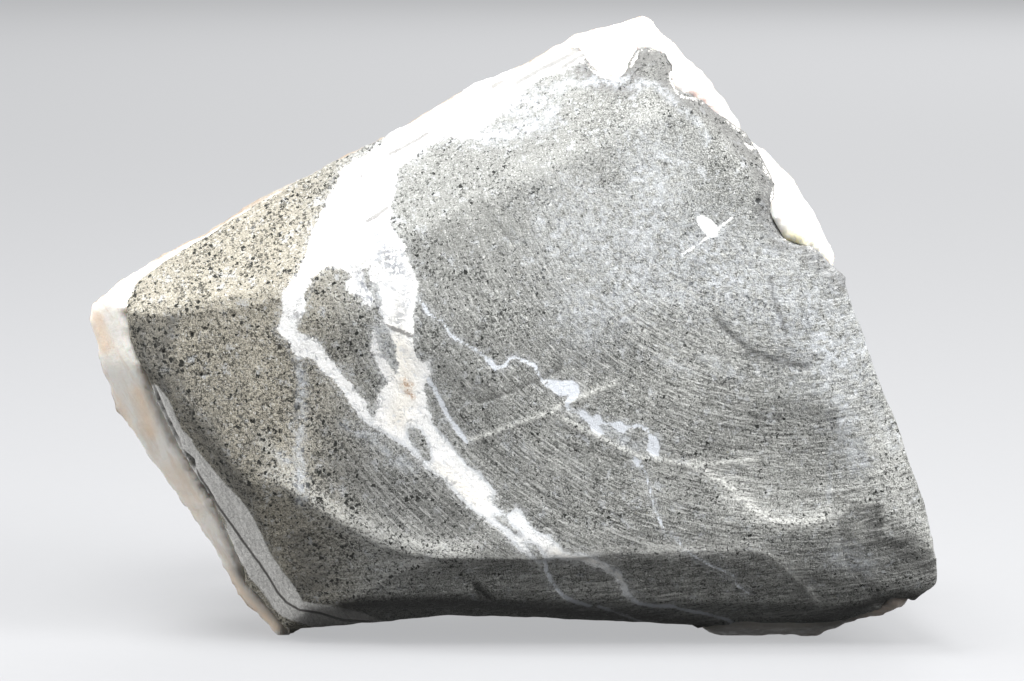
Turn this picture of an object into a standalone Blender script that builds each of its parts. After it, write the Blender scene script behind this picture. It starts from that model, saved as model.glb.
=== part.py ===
"""Apophyllite with stilbite: a ground block of basalt with a crust of stilbite and clear apophyllite.

The block is laid out in millimetres from a point on the surface under its ground face: x to the right,
y away from the ground face and z up. `add` turns each finished shape into metres by MM. The ground face
points to -Y and the crystals grew on the far side, +Y.
"""

import math
import random

import bmesh
import bpy
from mathutils import Matrix, Vector

MM = 0.001
GAP = 0.3  # room between the crust and what it grew on or around, in millimetres

# The block, front to back
FACE_Y = -3.0  # in front of every ground facet
BASE_Y = 43.0  # where the crust's crystals start on the far side
BACK_SCALE_X = 0.90  # the sides lean in towards the far side
BACK_SCALE_Z = 0.88
BACK_CENTRE = (2.0, 40.0)

# The outline of the whole block, seen square on, where its sides meet the ground facets (x, z), clockwise
# from the left corner
BLOCK_OUTLINE = [
    (-60.6, 48.6), (-54.0, 54.0), (-44.5, 59.5), (-31.6, 67.0), (-18.0, 73.9), (-5.3, 81.1), (2.4, 84.0),
    (9.9, 87.9), (19.2, 90.2), (26.6, 83.0), (35.9, 71.5), (42.7, 63.6), (46.7, 53.8), (51.1, 41.6),
    (55.0, 31.8), (58.6, 21.6), (61.1, 9.8), (57.3, 7.0), (53.4, 4.7), (47.6, 2.0), (42.9, -0.4),
    (30.1, -0.4), (26.9, 2.0), (20.0, 2.7), (7.6, 3.6), (-9.4, 4.2), (-21.9, 2.4), (-31.0, 1.3),
    (-32.5, -0.4), (-34.3, -0.4), (-39.6, 6.2), (-42.0, 10.2), (-46.9, 18.5), (-52.1, 25.5), (-56.6, 33.1),
    (-58.6, 39.6),
]

# Where the basalt meets the crust on the ground facets (x, z); outside the block where the basalt comes to
# its side
BASALT_OUTLINE = [
    (-53.7, 52.4), (-51.7, 54.0), (-44.6, 58.3), (-31.6, 66.0), (-17.9, 73.0), (-5.3, 80.3), (4.5, 84.0),
    (9.6, 85.8), (12.3, 82.3), (15.8, 81.5), (17.6, 85.7), (21.7, 85.3), (22.7, 83.7), (22.8, 80.4),
    (26.4, 79.0), (30.0, 75.9), (32.6, 74.2), (34.3, 71.8), (36.7, 67.1), (36.3, 63.2), (38.4, 59.6),
    (42.0, 58.5), (46.5, 54.0), (56.0, 52.0), (70.0, 8.0), (58.5, 6.5), (55.9, 8.1), (53.2, 7.4),
    (53.2, 6.1), (48.9, 4.2), (46.9, 3.3), (32.9, 3.3), (27.0, 2.2), (24.0, -8.0), (-31.0, -8.0),
    (-32.7, 1.8), (-38.6, 8.6), (-39.4, 11.3), (-43.0, 21.0), (-47.0, 27.8), (-49.6, 33.5), (-52.0, 40.8),
    (-53.8, 45.5), (-54.4, 50.1),
]
BASALT_FRONT_Y = -9.0  # well in front of the block
BASALT_BACK_Y = 33.0
BASALT_BACK_SCALE = 0.90
DEEPEST_EDGE_Y = 24.0  # how far back a side may meet the facets

# Facets left by the grinding disc: three points (x, y, z) that each one passes through
FACETS = {
    "upper bevel": ((-53.7, 4.0, 49.0), (16.1, 6.0, 78.0), (-18.0, 13.5, 73.9)),
    "face top": ((1.0, 1.5, 64.0), (40.0, 1.7, 64.0), (16.0, 3.6, 78.0)),
    "face upper middle": ((0.0, 0.0, 50.0), (45.0, 0.4, 50.0), (10.0, 1.5, 64.0)),
    "face lower middle": ((0.0, 0.0, 36.0), (50.0, 0.3, 36.0), (0.0, 0.0, 50.0)),
    "face bottom": ((0.0, 0.0, 36.0), (50.0, 0.4, 36.0), (4.0, 1.5, 15.0)),
    "left facet": ((-32.3, 0.2, 51.7), (-53.7, 4.0, 49.0), (-33.2, 2.0, 27.7)),
    "corner facet": ((-33.2, 2.3, 24.4), (-14.0, 2.4, 15.0), (-28.0, 7.6, 10.0)),
    "lower bevel": ((-11.7, 2.1, 13.9), (33.0, 1.8, 15.3), (4.0, 6.7, 7.4)),
    "under bevel": ((-22.0, 7.0, 7.2), (36.0, 7.0, 7.0), (7.6, 11.5, 4.3)),
    "right bevel": ((28.0, 1.75, 17.1), (50.0, 1.35, 21.6), (46.0, 3.5, 10.6)),
    "right corner": ((52.6, 2.9, 16.1), (59.8, 4.6, 13.1), (56.0, 6.6, 8.1)),
    "right strip": ((43.5, 1.0, 51.0), (50.6, 0.8, 22.6), (55.0, 2.8, 31.8)),
    "crust top right": ((25.0, 4.9, 79.4), (45.0, 1.4, 56.0), (35.9, 6.8, 71.5)),
    "crust left": ((-53.7, 4.0, 49.0), (-51.7, 4.5, 41.0), (-58.6, 12.0, 39.6)),
    "crust lower left": ((-48.9, 5.0, 36.8), (-30.2, 8.0, 8.8), (-52.1, 17.0, 25.5)),
}

# Shallow scoops of the disc: centre (x, y, z), radii across, in depth and up, how far the foot leans into the
# stone and the turn about Y, in degrees
SCOOPS = [
    ((-8.2, -7.2, 48.6), (36.0, 6.0, 36.0), 13.0, 25.0),
    ((39.2, -6.6, 38.1), (25.9, 6.4, 23.1), 15.3, -3.9),
]
SCOOP_SEGMENTS = 144
SCOOP_RINGS = 72

# Stilbite sheaves on the far side
SHEAF_SEED = 11
SHEAF_PITCH = 8.2
SHEAF_LENGTH = (3.4, 6.8)
SHEAF_WIDTH = (6.4, 9.6)
SHEAF_THICKNESS = (2.8, 4.4)
SHEAF_ROOT = 3.0  # how deep a sheaf stands in the crust
SHEAF_NARROWING = 0.6  # the root's share of the sheaf's width and thickness
SHEAF_CREST = [(-1.0, 0.80), (-0.55, 0.96), (0.0, 1.0), (0.55, 0.96), (1.0, 0.80)]  # shares of width, length
SHEAF_CLEARANCE = 2.6  # from an apophyllite crystal's side to the middle of a sheaf
SHEAF_JITTER = 0.25  # how far a sheaf strays from the grid, as a share of the pitch
SHEAF_LEAN = 24.0  # the most a sheaf leans by chance, in degrees
SHEAF_MARGIN = 1.07  # the far side's outline is this much wider than the field of sheaves
ROW_SPACING = 0.87  # from row to row of the grid, as a share of the pitch
GRID_CORNER = (-60.0, 6.0)
GRID_END = (62.0, 86.0)
FAR_MIDDLE_Z = 42.0
SPREAD_X = 16.0 / 50.0  # how much further a sheaf leans out for each millimetre from the middle, in degrees
SPREAD_Z = 10.0 / 40.0
LOW_ROWS = 22.0  # the rows under this height hardly lean down
LOW_ROW_LEAN = -4.0
LOWEST_SHEAF = 9.0
SPECK_VERTICES = 8
LUMP_SUNK = 1.5  # how far a swell's middle lies under the crust's base
LUMPS = [  # centre (x, z), radius and height of the swells that the sheaves stand on
    (-30.0, 42.0, 14.0, 4.0), (-6.0, 58.0, 15.0, 3.5), (14.0, 36.0, 17.0, 4.5), (34.0, 24.0, 13.0, 3.5),
    (-12.0, 22.0, 14.0, 4.0), (20.0, 70.0, 11.0, 3.0),
]

PYRAMID_SLOPE = 1.1  # of the apophyllite's corner faces, along the crystal
# Apophyllite groups: each crystal as centre (x, y, z), width, height, corner cut and turns about x, y and z
APOPHYLLITE = {
    "apophyllite_large": [
        ((-9.0, 48.0, 47.0), 15.0, 17.0, 0.46, (78.0, 12.0, 20.0)),
        ((2.0, 46.0, 41.5), 10.0, 11.0, 0.46, (96.0, -24.0, 48.0)),
        ((-16.0, 46.0, 38.5), 8.0, 9.0, 0.42, (70.0, 34.0, 5.0)),
    ],
    "apophyllite_right": [
        ((25.0, 46.5, 33.0), 12.0, 13.0, 0.48, (104.0, 18.0, 35.0)),
        ((31.5, 45.5, 40.0), 8.0, 9.0, 0.44, (80.0, -14.0, 10.0)),
    ],
    "apophyllite_upper": [
        ((16.0, 46.0, 63.5), 9.5, 10.5, 0.46, (68.0, -10.0, 52.0)),
    ],
    "apophyllite_left": [
        ((-34.0, 46.0, 41.0), 9.0, 10.0, 0.45, (94.0, 22.0, 15.0)),
        ((-29.5, 45.5, 33.5), 6.5, 7.0, 0.42, (76.0, -30.0, 40.0)),
    ],
    "apophyllite_lower": [
        ((2.0, 46.0, 18.5), 10.0, 11.0, 0.47, (110.0, 8.0, 28.0)),
    ],
}


def collection(name):
    """A collection of this name, linked to the scene."""
    made = bpy.data.collections.new(name)
    bpy.context.scene.collection.children.link(made)
    return made


def material(name, colour, roughness, transmission=0.0):
    """A Principled material of one colour."""
    mat = bpy.data.materials.new(name)
    mat.use_nodes = True
    shader = mat.node_tree.nodes["Principled BSDF"]
    shader.inputs["Base Color"].default_value = (*colour, 1.0)
    shader.inputs["Roughness"].default_value = roughness
    shader.inputs["Metallic"].default_value = 0.0
    shader.inputs["Transmission Weight"].default_value = transmission
    mat.diffuse_color = (*colour, 1.0)
    return mat


def add(name, bm, home, mat=None):
    """An object from a bmesh in millimetres, its mesh in metres."""
    bmesh.ops.scale(bm, vec=(MM, MM, MM), verts=bm.verts)
    bmesh.ops.recalc_face_normals(bm, faces=bm.faces)
    mesh = bpy.data.meshes.new(name)
    bm.to_mesh(mesh)
    bm.free()
    made = bpy.data.objects.new(name, mesh)
    home.objects.link(made)
    if mat is not None:
        mesh.materials.append(mat)
    return made


def boolean(target, operation, tool_shape, home, solver="EXACT"):
    """Cuts or joins the target with a shape, applies the result and drops the tool."""
    tool = add("tool", tool_shape, home)
    tool.hide_render = True
    tool.display_type = "WIRE"
    mod = target.modifiers.new(operation.lower(), "BOOLEAN")
    mod.operation = operation
    mod.solver = solver
    mod.object = tool
    graph = bpy.context.evaluated_depsgraph_get()
    old = target.data
    target.data = bpy.data.meshes.new_from_object(target.evaluated_get(graph), depsgraph=graph)
    target.modifiers.clear()
    target.data.name = target.name
    bpy.data.meshes.remove(old)
    bpy.data.objects.remove(tool, do_unlink=True)


def drop_specks(target):
    """Removes the loose flakes of no thickness that a join can leave on a flat face."""
    bm = bmesh.new()
    bm.from_mesh(target.data)
    left = set(bm.verts)
    while left:
        island = {left.pop()}
        front = list(island)
        while front:
            vert = front.pop()
            near = {edge.other_vert(vert) for edge in vert.link_edges} - island
            front.extend(near)
            island |= near
        left -= island
        if len(island) < SPECK_VERTICES:
            bmesh.ops.delete(bm, geom=list(island), context="VERTS")
    bm.to_mesh(target.data)
    bm.free()


def outset(outline, distance):
    """The outline moved outwards by a distance; the outline runs clockwise."""
    moved = []
    count = len(outline)
    for i in range(count):
        before, here, after = (Vector(outline[(i + k) % count]) for k in (-1, 0, 1))
        into, out = (here - before).normalized(), (after - here).normalized()
        side = Vector((-(into.y + out.y), into.x + out.x)).normalized()
        reach = distance / max(side.dot(Vector((-into.y, into.x))), 0.5)
        moved.append(tuple(here + side * reach))
    return moved


def face_depth(x, z):
    """How deep the ground facets lie at a point seen square on."""
    depth = FACE_Y
    for first, second, third in FACETS.values():
        point = Vector(first)
        normal = (Vector(second) - point).cross(Vector(third) - point)
        depth = max(depth, point.y - (normal.x * (x - point.x) + normal.z * (z - point.z)) / normal.y)
    return min(depth, DEEPEST_EDGE_Y)


def prism(outline, front_y, back_y, back_point):
    """A solid whose sides run through an outline on the ground facets to its image under back_point."""
    front_points = []
    back_points = []
    for x, z in outline:
        edge_y = face_depth(x, z)
        back_x, back_z = back_point(x, z)
        share = (edge_y - front_y) / (back_y - edge_y)
        front_points.append((x + (x - back_x) * share, front_y, z + (z - back_z) * share))
        back_points.append((back_x, back_y, back_z))
    bm = bmesh.new()
    front = [bm.verts.new(point) for point in front_points]
    back = [bm.verts.new(point) for point in back_points]
    bm.faces.new(front)
    bm.faces.new(back[::-1])
    for i in range(len(outline)):
        after = (i + 1) % len(outline)
        bm.faces.new((front[i], back[i], back[after], front[after]))
    bmesh.ops.triangulate(bm, faces=bm.faces)
    return bm


def block_back(x, z):
    """Where a point of the block's outline comes to on the far side: drawn in, but not lifted."""
    centre_x, centre_z = BACK_CENTRE
    drop = (z - centre_z) * (1.0 - BACK_SCALE_Z) if z > centre_z else 0.0
    return centre_x + (x - centre_x) * BACK_SCALE_X, z - drop


def basalt_back(x, z):
    """Where a point of the basalt's outline comes to at its back, drawn in so that the crust thickens."""
    centre_x, centre_z = BACK_CENTRE
    drawn_z = centre_z + (z - centre_z) * BASALT_BACK_SCALE if z > 0.0 else z
    return centre_x + (x - centre_x) * BASALT_BACK_SCALE, drawn_z


def slice_off(bm, point, normal):
    """Takes away what lies beyond a plane and closes the cut with flat faces."""
    geom = bm.verts[:] + bm.edges[:] + bm.faces[:]
    bmesh.ops.bisect_plane(bm, geom=geom, dist=1e-4, plane_co=point, plane_no=normal, clear_outer=True)
    bmesh.ops.remove_doubles(bm, verts=bm.verts, dist=0.05)
    rim = [edge for edge in bm.edges if len(edge.link_faces) == 1]
    if rim:
        bmesh.ops.triangle_fill(bm, use_beauty=True, edges=rim)
    bmesh.ops.dissolve_limit(bm, angle_limit=math.radians(0.3), verts=bm.verts, edges=bm.edges)


def grind(bm):
    """Cuts the facets: each plane takes away what stands in front of it."""
    for first, second, third in FACETS.values():
        point = Vector(first)
        normal = (Vector(second) - point).cross(Vector(third) - point).normalized()
        if normal.y > 0.0:
            normal.negate()
        slice_off(bm, point, normal)


def ground_block():
    """The whole block, basalt and crust together, with its facets and a flat underside at z = 0."""
    bm = prism(BLOCK_OUTLINE, FACE_Y, BASE_Y, block_back)
    grind(bm)
    slice_off(bm, Vector((0.0, 0.0, 0.0)), Vector((0.0, 0.0, -1.0)))
    bmesh.ops.triangulate(bm, faces=bm.faces)
    return bm


def scoop(centre, radii, lean, turn):
    """An ellipsoid that takes a shallow scoop out of the ground face."""
    bm = bmesh.new()
    bmesh.ops.create_uvsphere(bm, u_segments=SCOOP_SEGMENTS, v_segments=SCOOP_RINGS, radius=1.0)
    upright = Matrix.Rotation(math.radians(90.0), 4, "X")
    place = (Matrix.Translation(centre) @ Matrix.Rotation(math.radians(turn), 4, "Y")
             @ Matrix.Rotation(math.radians(lean), 4, "X") @ Matrix.Diagonal((*radii, 1.0)) @ upright)
    bmesh.ops.transform(bm, matrix=place, verts=bm.verts)
    return bm


def inside(x, z, outline):
    """Whether a point lies inside an outline."""
    hit = False
    for (x0, z0), (x1, z1) in zip(outline, outline[1:] + outline[:1]):
        if (z0 > z) != (z1 > z) and x < x0 + (z - z0) / (z1 - z0) * (x1 - x0):
            hit = not hit
    return hit


def swell(x, z):
    """How far the crust bulges from its base on the far side."""
    bulge = 0.0
    for centre_x, centre_z, radius, height in LUMPS:
        near = 1.0 - ((x - centre_x) ** 2 + (z - centre_z) ** 2) / radius ** 2
        bulge = max(bulge, height * near)
    return bulge


def clear_of_crystals(x, z):
    """Whether a sheaf at this place would stand beside the apophyllite and not through it."""
    for crystals in APOPHYLLITE.values():
        for (centre_x, _, centre_z), width, _, _, _ in crystals:
            if math.hypot(x - centre_x, z - centre_z) < width * 0.5 + SHEAF_CLEARANCE:
                return False
    return True


def sheaf_sites():
    """Where the sheaves stand: a jittered grid over the far side, each with its lean and size."""
    rng = random.Random(SHEAF_SEED)
    field = [block_back(x, z) for x, z in BLOCK_OUTLINE]
    sites = []
    row = 0
    first_x, z = GRID_CORNER
    last_x, last_z = GRID_END
    while z < last_z:
        x = first_x + (row % 2) * SHEAF_PITCH / 2.0
        while x < last_x:
            at_x = x + rng.uniform(-SHEAF_JITTER, SHEAF_JITTER) * SHEAF_PITCH
            at_z = z + rng.uniform(-SHEAF_JITTER, SHEAF_JITTER) * SHEAF_PITCH
            size = rng.random()
            spin = rng.uniform(0.0, 180.0)
            lean = (rng.uniform(-SHEAF_LEAN, SHEAF_LEAN), rng.uniform(-SHEAF_LEAN, SHEAF_LEAN))
            above_middle = (at_z - FAR_MIDDLE_Z) * SHEAF_MARGIN
            on_crust = inside(at_x * SHEAF_MARGIN, FAR_MIDDLE_Z + above_middle, field)
            if on_crust and at_z > LOWEST_SHEAF and clear_of_crystals(at_x, at_z):
                sites.append((at_x, at_z, size, spin, lean))
            x += SHEAF_PITCH
        z += SHEAF_PITCH * ROW_SPACING
        row += 1
    return sites


def between(limits, share):
    """The value at a share of the way between two limits."""
    return limits[0] + (limits[1] - limits[0]) * share


def sheaf(at_x, at_z, size, spin, lean):
    """One stilbite sheaf: a slab that widens from its root to a low, three-faced crest."""
    length = between(SHEAF_LENGTH, size) + SHEAF_ROOT
    width = between(SHEAF_WIDTH, size) / 2.0
    thick = between(SHEAF_THICKNESS, size) / 2.0
    foot = SHEAF_NARROWING * width
    bm = bmesh.new()
    side = [(-foot, 0.0)] + [(u * width, v * length) for u, v in SHEAF_CREST] + [(foot, 0.0)]
    front = bm.faces.new([bm.verts.new((u, -thick, v)) for u, v in side])
    back = bmesh.ops.extrude_face_region(bm, geom=[front])["geom"]
    for vert in (item for item in back if isinstance(item, bmesh.types.BMVert)):
        vert.co.y = thick
    for vert in bm.verts:
        if vert.co.z < length / 2.0:
            vert.co.y *= SHEAF_NARROWING
    outward = Matrix.Rotation(math.radians(-90.0), 4, "X")
    spun = Matrix.Rotation(math.radians(spin), 4, "Y")
    tilt = lean[0] + SPREAD_Z * (at_z - FAR_MIDDLE_Z)
    if at_z < LOW_ROWS:
        tilt = max(tilt, LOW_ROW_LEAN)  # so that no sheaf reaches under the base
    leant = (Matrix.Rotation(math.radians(tilt), 4, "X")
             @ Matrix.Rotation(math.radians(lean[1] - SPREAD_X * at_x), 4, "Z"))
    root = BASE_Y + swell(at_x, at_z) - SHEAF_ROOT
    place = Matrix.Translation((at_x, root, at_z)) @ leant @ spun @ outward
    bmesh.ops.transform(bm, matrix=place, verts=bm.verts)
    return bm


def lump(centre_x, centre_z, radius, height):
    """A low swell of the crust: the cap of a flattened sphere, sunk in the block."""
    bm = bmesh.new()
    bmesh.ops.create_icosphere(bm, subdivisions=2, radius=1.0)
    depth = height + LUMP_SUNK
    place = (Matrix.Translation((centre_x, BASE_Y - LUMP_SUNK, centre_z))
             @ Matrix.Diagonal((radius, depth, radius, 1.0)))
    bmesh.ops.transform(bm, matrix=place, verts=bm.verts)
    return bm


def apophyllite(crystals, grown=0.0):
    """A group of apophyllite crystals: square prisms whose corners are cut by the pyramid's faces."""
    pieces = []
    for centre, width, height, corner, turns in crystals:
        bm = bmesh.new()
        bmesh.ops.create_cube(bm, size=1.0)
        wide, tall = width + 2.0 * grown, height + 2.0 * grown
        bmesh.ops.scale(bm, vec=(wide, wide, tall), verts=bm.verts)
        reach = wide * (1.0 - corner)
        for end in (-1, 1):
            for across, along in ((1, 1), (1, -1), (-1, 1), (-1, -1)):
                normal = Vector((across, along, end * PYRAMID_SLOPE)).normalized()
                point = Vector((across * reach / 2.0, along * reach / 2.0, end * tall / 2.0))
                geom = bm.verts[:] + bm.edges[:] + bm.faces[:]
                cut = bmesh.ops.bisect_plane(bm, geom=geom, dist=1e-5, plane_co=point,
                                             plane_no=normal, clear_outer=True)
                rim = [item for item in cut["geom_cut"] if isinstance(item, bmesh.types.BMEdge)]
                bmesh.ops.contextual_create(bm, geom=rim)
        turn = Matrix.Identity(4)
        for angle, axis in zip(turns, "XYZ"):
            turn = turn @ Matrix.Rotation(math.radians(angle), 4, axis)
        bmesh.ops.transform(bm, matrix=Matrix.Translation(centre) @ turn, verts=bm.verts)
        pieces.append(bm)
    return pieces


def clear_scene():
    """Removes whatever the open file holds."""
    for thing in list(bpy.data.objects):
        bpy.data.objects.remove(thing, do_unlink=True)


def build():
    """Makes every piece."""
    clear_scene()
    parts = collection("apophyllite_with_stilbite")
    cutters = collection("cutters")
    rock = material("basalt", (0.30, 0.30, 0.29), 0.75)
    ivory = material("stilbite", (0.83, 0.74, 0.63), 0.45)
    clear = material("apophyllite", (0.93, 0.96, 0.95), 0.05, 0.9)

    basalt = add("basalt_matrix", ground_block(), parts, rock)
    crust = add("stilbite_crust", ground_block(), parts, ivory)
    heart = prism(BASALT_OUTLINE, BASALT_FRONT_Y, BASALT_BACK_Y, basalt_back)
    boolean(basalt, "INTERSECT", heart, cutters)
    for values in SCOOPS:
        boolean(basalt, "DIFFERENCE", scoop(*values), cutters)
        boolean(crust, "DIFFERENCE", scoop(*values), cutters)

    room = prism(outset(BASALT_OUTLINE, GAP), BASALT_FRONT_Y, BASALT_BACK_Y + GAP, basalt_back)
    boolean(crust, "DIFFERENCE", room, cutters)
    for growth in [lump(*values) for values in LUMPS] + [sheaf(*values) for values in sheaf_sites()]:
        boolean(crust, "UNION", growth, cutters, "MANIFOLD")

    for name, crystals in APOPHYLLITE.items():
        first, *others = apophyllite(crystals)
        node = add(name, first, parts, clear)
        for other in others:
            boolean(node, "UNION", other, cutters)
        for seat in apophyllite(crystals, GAP):
            boolean(crust, "DIFFERENCE", seat, cutters, "MANIFOLD")
    drop_specks(crust)
    return parts


def stand_over_origin(parts):
    """Moves the specimen so that the middle of its box is over the origin and its lowest face is at 0."""
    corners = [vert.co for thing in parts.objects for vert in thing.data.vertices]
    low = Vector([min(corner[axis] for corner in corners) for axis in range(3)])
    high = Vector([max(corner[axis] for corner in corners) for axis in range(3)])
    for thing in parts.objects:
        thing.location = (-(low.x + high.x) / 2.0, -(low.y + high.y) / 2.0, -low.z)


stand_over_origin(build())
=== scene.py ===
"""Apophyllite with stilbite: the looks of a hand-sized mineral specimen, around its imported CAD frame.

A block of veined, pitted basalt, ground on its front with a disc, carries a crust of stilbite with clear
apophyllite on its far side. Everything is in metres; the ground face points to -Y and the crystals to +Y.
"""

import math
import random

import bpy
import numpy as np
from mathutils import Matrix, Vector, noise
from mathutils.bvhtree import BVHTree


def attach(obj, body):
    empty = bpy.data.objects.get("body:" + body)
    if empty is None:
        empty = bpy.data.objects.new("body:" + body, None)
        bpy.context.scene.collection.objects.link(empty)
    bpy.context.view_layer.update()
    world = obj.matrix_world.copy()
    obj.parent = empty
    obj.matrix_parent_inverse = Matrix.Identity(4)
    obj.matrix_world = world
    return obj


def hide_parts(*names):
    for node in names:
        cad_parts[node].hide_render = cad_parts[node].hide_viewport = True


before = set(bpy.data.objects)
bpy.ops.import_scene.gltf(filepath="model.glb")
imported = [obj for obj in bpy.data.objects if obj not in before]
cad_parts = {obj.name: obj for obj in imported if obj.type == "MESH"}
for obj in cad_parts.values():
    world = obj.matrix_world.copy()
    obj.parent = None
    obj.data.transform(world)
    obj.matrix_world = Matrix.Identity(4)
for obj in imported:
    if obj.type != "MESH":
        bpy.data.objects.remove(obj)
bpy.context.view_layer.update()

# ----------------------------------------
# The view: a long lens a little above the middle of the specimen, square on to the ground face. The stone's
# markings below are given as pixels of this camera's 1024 x 681 picture frame.
# ----------------------------------------
MM = 0.001
PICTURE = (1024.0, 681.0)
LENS = 150.7
SENSOR = 36.0
CAMERA_PITCH = math.radians(7.0)
CAMERA_PLACE = (-0.000250, -0.624526, 0.118722)
FOCAL_PIXELS = LENS / SENSOR * PICTURE[0]

camera = bpy.data.objects.new("camera", bpy.data.cameras.new("camera"))
bpy.context.scene.collection.objects.link(camera)
camera.data.lens = LENS
camera.data.sensor_width = SENSOR
camera.data.clip_start = 0.01
camera.location = CAMERA_PLACE
camera.rotation_euler = (math.radians(90.0) - CAMERA_PITCH, 0.0, 0.0)
bpy.context.scene.camera = camera


def picture_spots(places):
    """Where points in metres come to in the picture frame, in pixels from its upper left corner."""
    seen = places - np.array(CAMERA_PLACE)
    depth = seen[:, 1] * math.cos(CAMERA_PITCH) - seen[:, 2] * math.sin(CAMERA_PITCH)
    height = seen[:, 1] * math.sin(CAMERA_PITCH) + seen[:, 2] * math.cos(CAMERA_PITCH)
    across = PICTURE[0] / 2.0 + seen[:, 0] / depth * FOCAL_PIXELS
    down = PICTURE[1] / 2.0 - height / depth * FOCAL_PIXELS
    return np.column_stack((across, down))


# ----------------------------------------
# Basalt: one block of fine grey lava rock full of tiny gas holes, ground into facets and shallow scoops on
# the front, with a steep chamfer along its foot that is painted dark with shade. White zeolite fills the
# cracks that run through it.
# ----------------------------------------
STONE_VOXEL = 0.77 * MM
STONE_SOFTENING = 5
WEAR_PASSES = 30
FRONT_WAY = np.array((0.0, -1.0, 0.12))
FRONT_FROM, FRONT_RISE = 0.05, 0.35
SEEN_LIMIT = 0.12  # faces that look at the camera by more than this are made finer
WORN_FRONT = (0.9, 0.1)  # the front share where wear sets in, and its rise
CRISP_REACH = (4.0, 10.0)  # in pixels: kept fully crisp, and the fade beyond
NEAR_BY = 2.0 * MM
CONTACT = (1.1 * MM, -0.5 * MM)  # how near the crust the relief gives way, and the fade
FAR_OFF = 40.0  # in pixels, as far as the material needs to know
# Layers of roughness: depth in millimetres, size in metres, octaves and seed
FRONT_ROUGHNESS = [(0.06, 0.009, 3, 0.0), (0.035, 0.0018, 2, 5.0)]
SIDE_ROUGHNESS = [(0.22, 0.006, 4, 9.0)]
BITE_ROUGHNESS = [(0.25, 0.0026, 3, 12.0)]
# Depths in millimetres
PASS_DEPTH = 0.05
HOLE_DEPTH = 0.35
CRACK_DEPTH, CRACK_HALF_WIDTH, CRACK_REACH = 0.9, 4.0, (5.0, 10.0)
BITE, BITE_LIMITS = 0.42, (0.20, 0.65)

# The broad white vein: along the upper left edge, down round the dark island and away to the lower right
WHITE_VEIN = [
    (283, 292), (299, 276), (309, 246), (311, 236), (320, 215), (333, 191), (342, 171), (350, 164),
    (368, 154), (390, 136), (408, 125), (421, 113), (424, 100), (462, 76), (504, 60), (540, 46), (584, 22),
    (625, 10), (636, 22), (612, 50), (580, 60), (573, 64), (564, 69), (551, 74), (540, 79), (529, 85),
    (515, 98), (506, 111), (485, 125), (462, 138), (446, 137), (430, 145), (417, 156), (404, 163),
    (397, 170), (396, 185), (392, 201), (391, 212), (390, 223), (398, 237), (405, 245), (404, 252),
    (414, 270), (418, 289), (414, 313), (414, 333), (414, 351), (422, 361), (431, 360), (431, 374),
    (426, 378), (424, 390), (428, 408), (434, 424), (448, 440), (457, 450), (469, 465), (480, 473),
    (490, 484), (495, 490), (494, 502), (501, 510), (507, 513), (517, 509), (526, 515), (530, 524),
    (538, 532), (549, 535), (559, 545), (564, 551), (574, 553), (584, 553), (595, 557), (610, 566),
    (618, 569), (623, 575), (627, 585), (631, 594), (634, 601), (626, 597), (620, 585), (613, 576),
    (605, 570), (589, 565), (577, 561), (568, 560), (557, 558), (550, 561), (544, 560), (540, 564),
    (534, 561), (521, 552), (513, 543), (505, 534), (496, 526), (484, 518), (471, 509), (461, 500),
    (452, 488), (442, 478), (429, 471), (417, 457), (400, 443), (380, 432), (369, 426), (361, 418),
    (353, 408), (343, 392), (335, 382), (329, 376), (318, 366), (315, 359), (298, 357), (291, 345),
    (284, 338), (278, 331), (280, 319), (283, 305),
]
# Basalt that shows inside it
ISLANDS = [
    [(326, 266), (335, 265), (349, 271), (353, 278), (345, 283), (349, 293), (361, 297), (364, 305),
     (376, 309), (378, 323), (373, 333), (372, 351), (376, 363), (382, 374), (388, 382), (380, 394),
     (376, 408), (372, 418), (369, 410), (367, 402), (361, 396), (353, 386), (343, 376), (341, 366),
     (336, 370), (333, 363), (326, 355), (320, 341), (309, 337), (297, 333), (295, 325), (302, 315),
     (306, 305), (305, 295), (310, 279), (318, 272)],
    [(362, 268), (368, 270), (371, 279), (378, 283), (380, 292), (382, 302), (378, 312), (384, 322),
     (390, 331), (394, 345), (398, 362), (397, 374), (389, 366), (382, 352), (376, 338), (373, 322),
     (371, 308), (374, 298), (370, 290), (364, 281)],
    [(408, 427), (419, 429), (425, 438), (430, 452), (431, 461), (424, 459), (416, 448), (410, 438)],
    [(457, 445), (463, 450), (473, 461), (480, 469), (471, 465), (463, 459), (458, 452)],
    [(493, 513), (505, 517), (513, 526), (522, 535), (515, 534), (507, 527), (496, 519)],
    [(526, 542), (536, 546), (545, 557), (543, 562), (537, 556), (530, 549)],
]
# Bluish white blots along the thin vein on the right, and the eye-shaped grain above it
BLOTS = [
    [(545, 379), (553, 379), (559, 381), (570, 380), (578, 383), (580, 390), (578, 396), (572, 402),
     (568, 404), (571, 409), (569, 412), (564, 406), (566, 400), (569, 395), (559, 396), (551, 390)],
    [(577, 410), (584, 409), (591, 417), (597, 414), (601, 416), (603, 421), (610, 422), (620, 421),
     (627, 425), (625, 434), (618, 432), (612, 426), (603, 424), (599, 426), (606, 434), (599, 435),
     (591, 430), (589, 423), (580, 417)],
    [(647, 429), (652, 434), (658, 436), (660, 446), (659, 456), (652, 456), (647, 450), (649, 442)],
    [(633, 456), (641, 461), (640, 469), (636, 467), (633, 462)],
    [(696, 218), (700, 214), (709, 218), (719, 229), (718, 235), (711, 238), (704, 232), (698, 224)],
    [(484, 357), (490, 358), (498, 367), (495, 371), (488, 364)],
]
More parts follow.
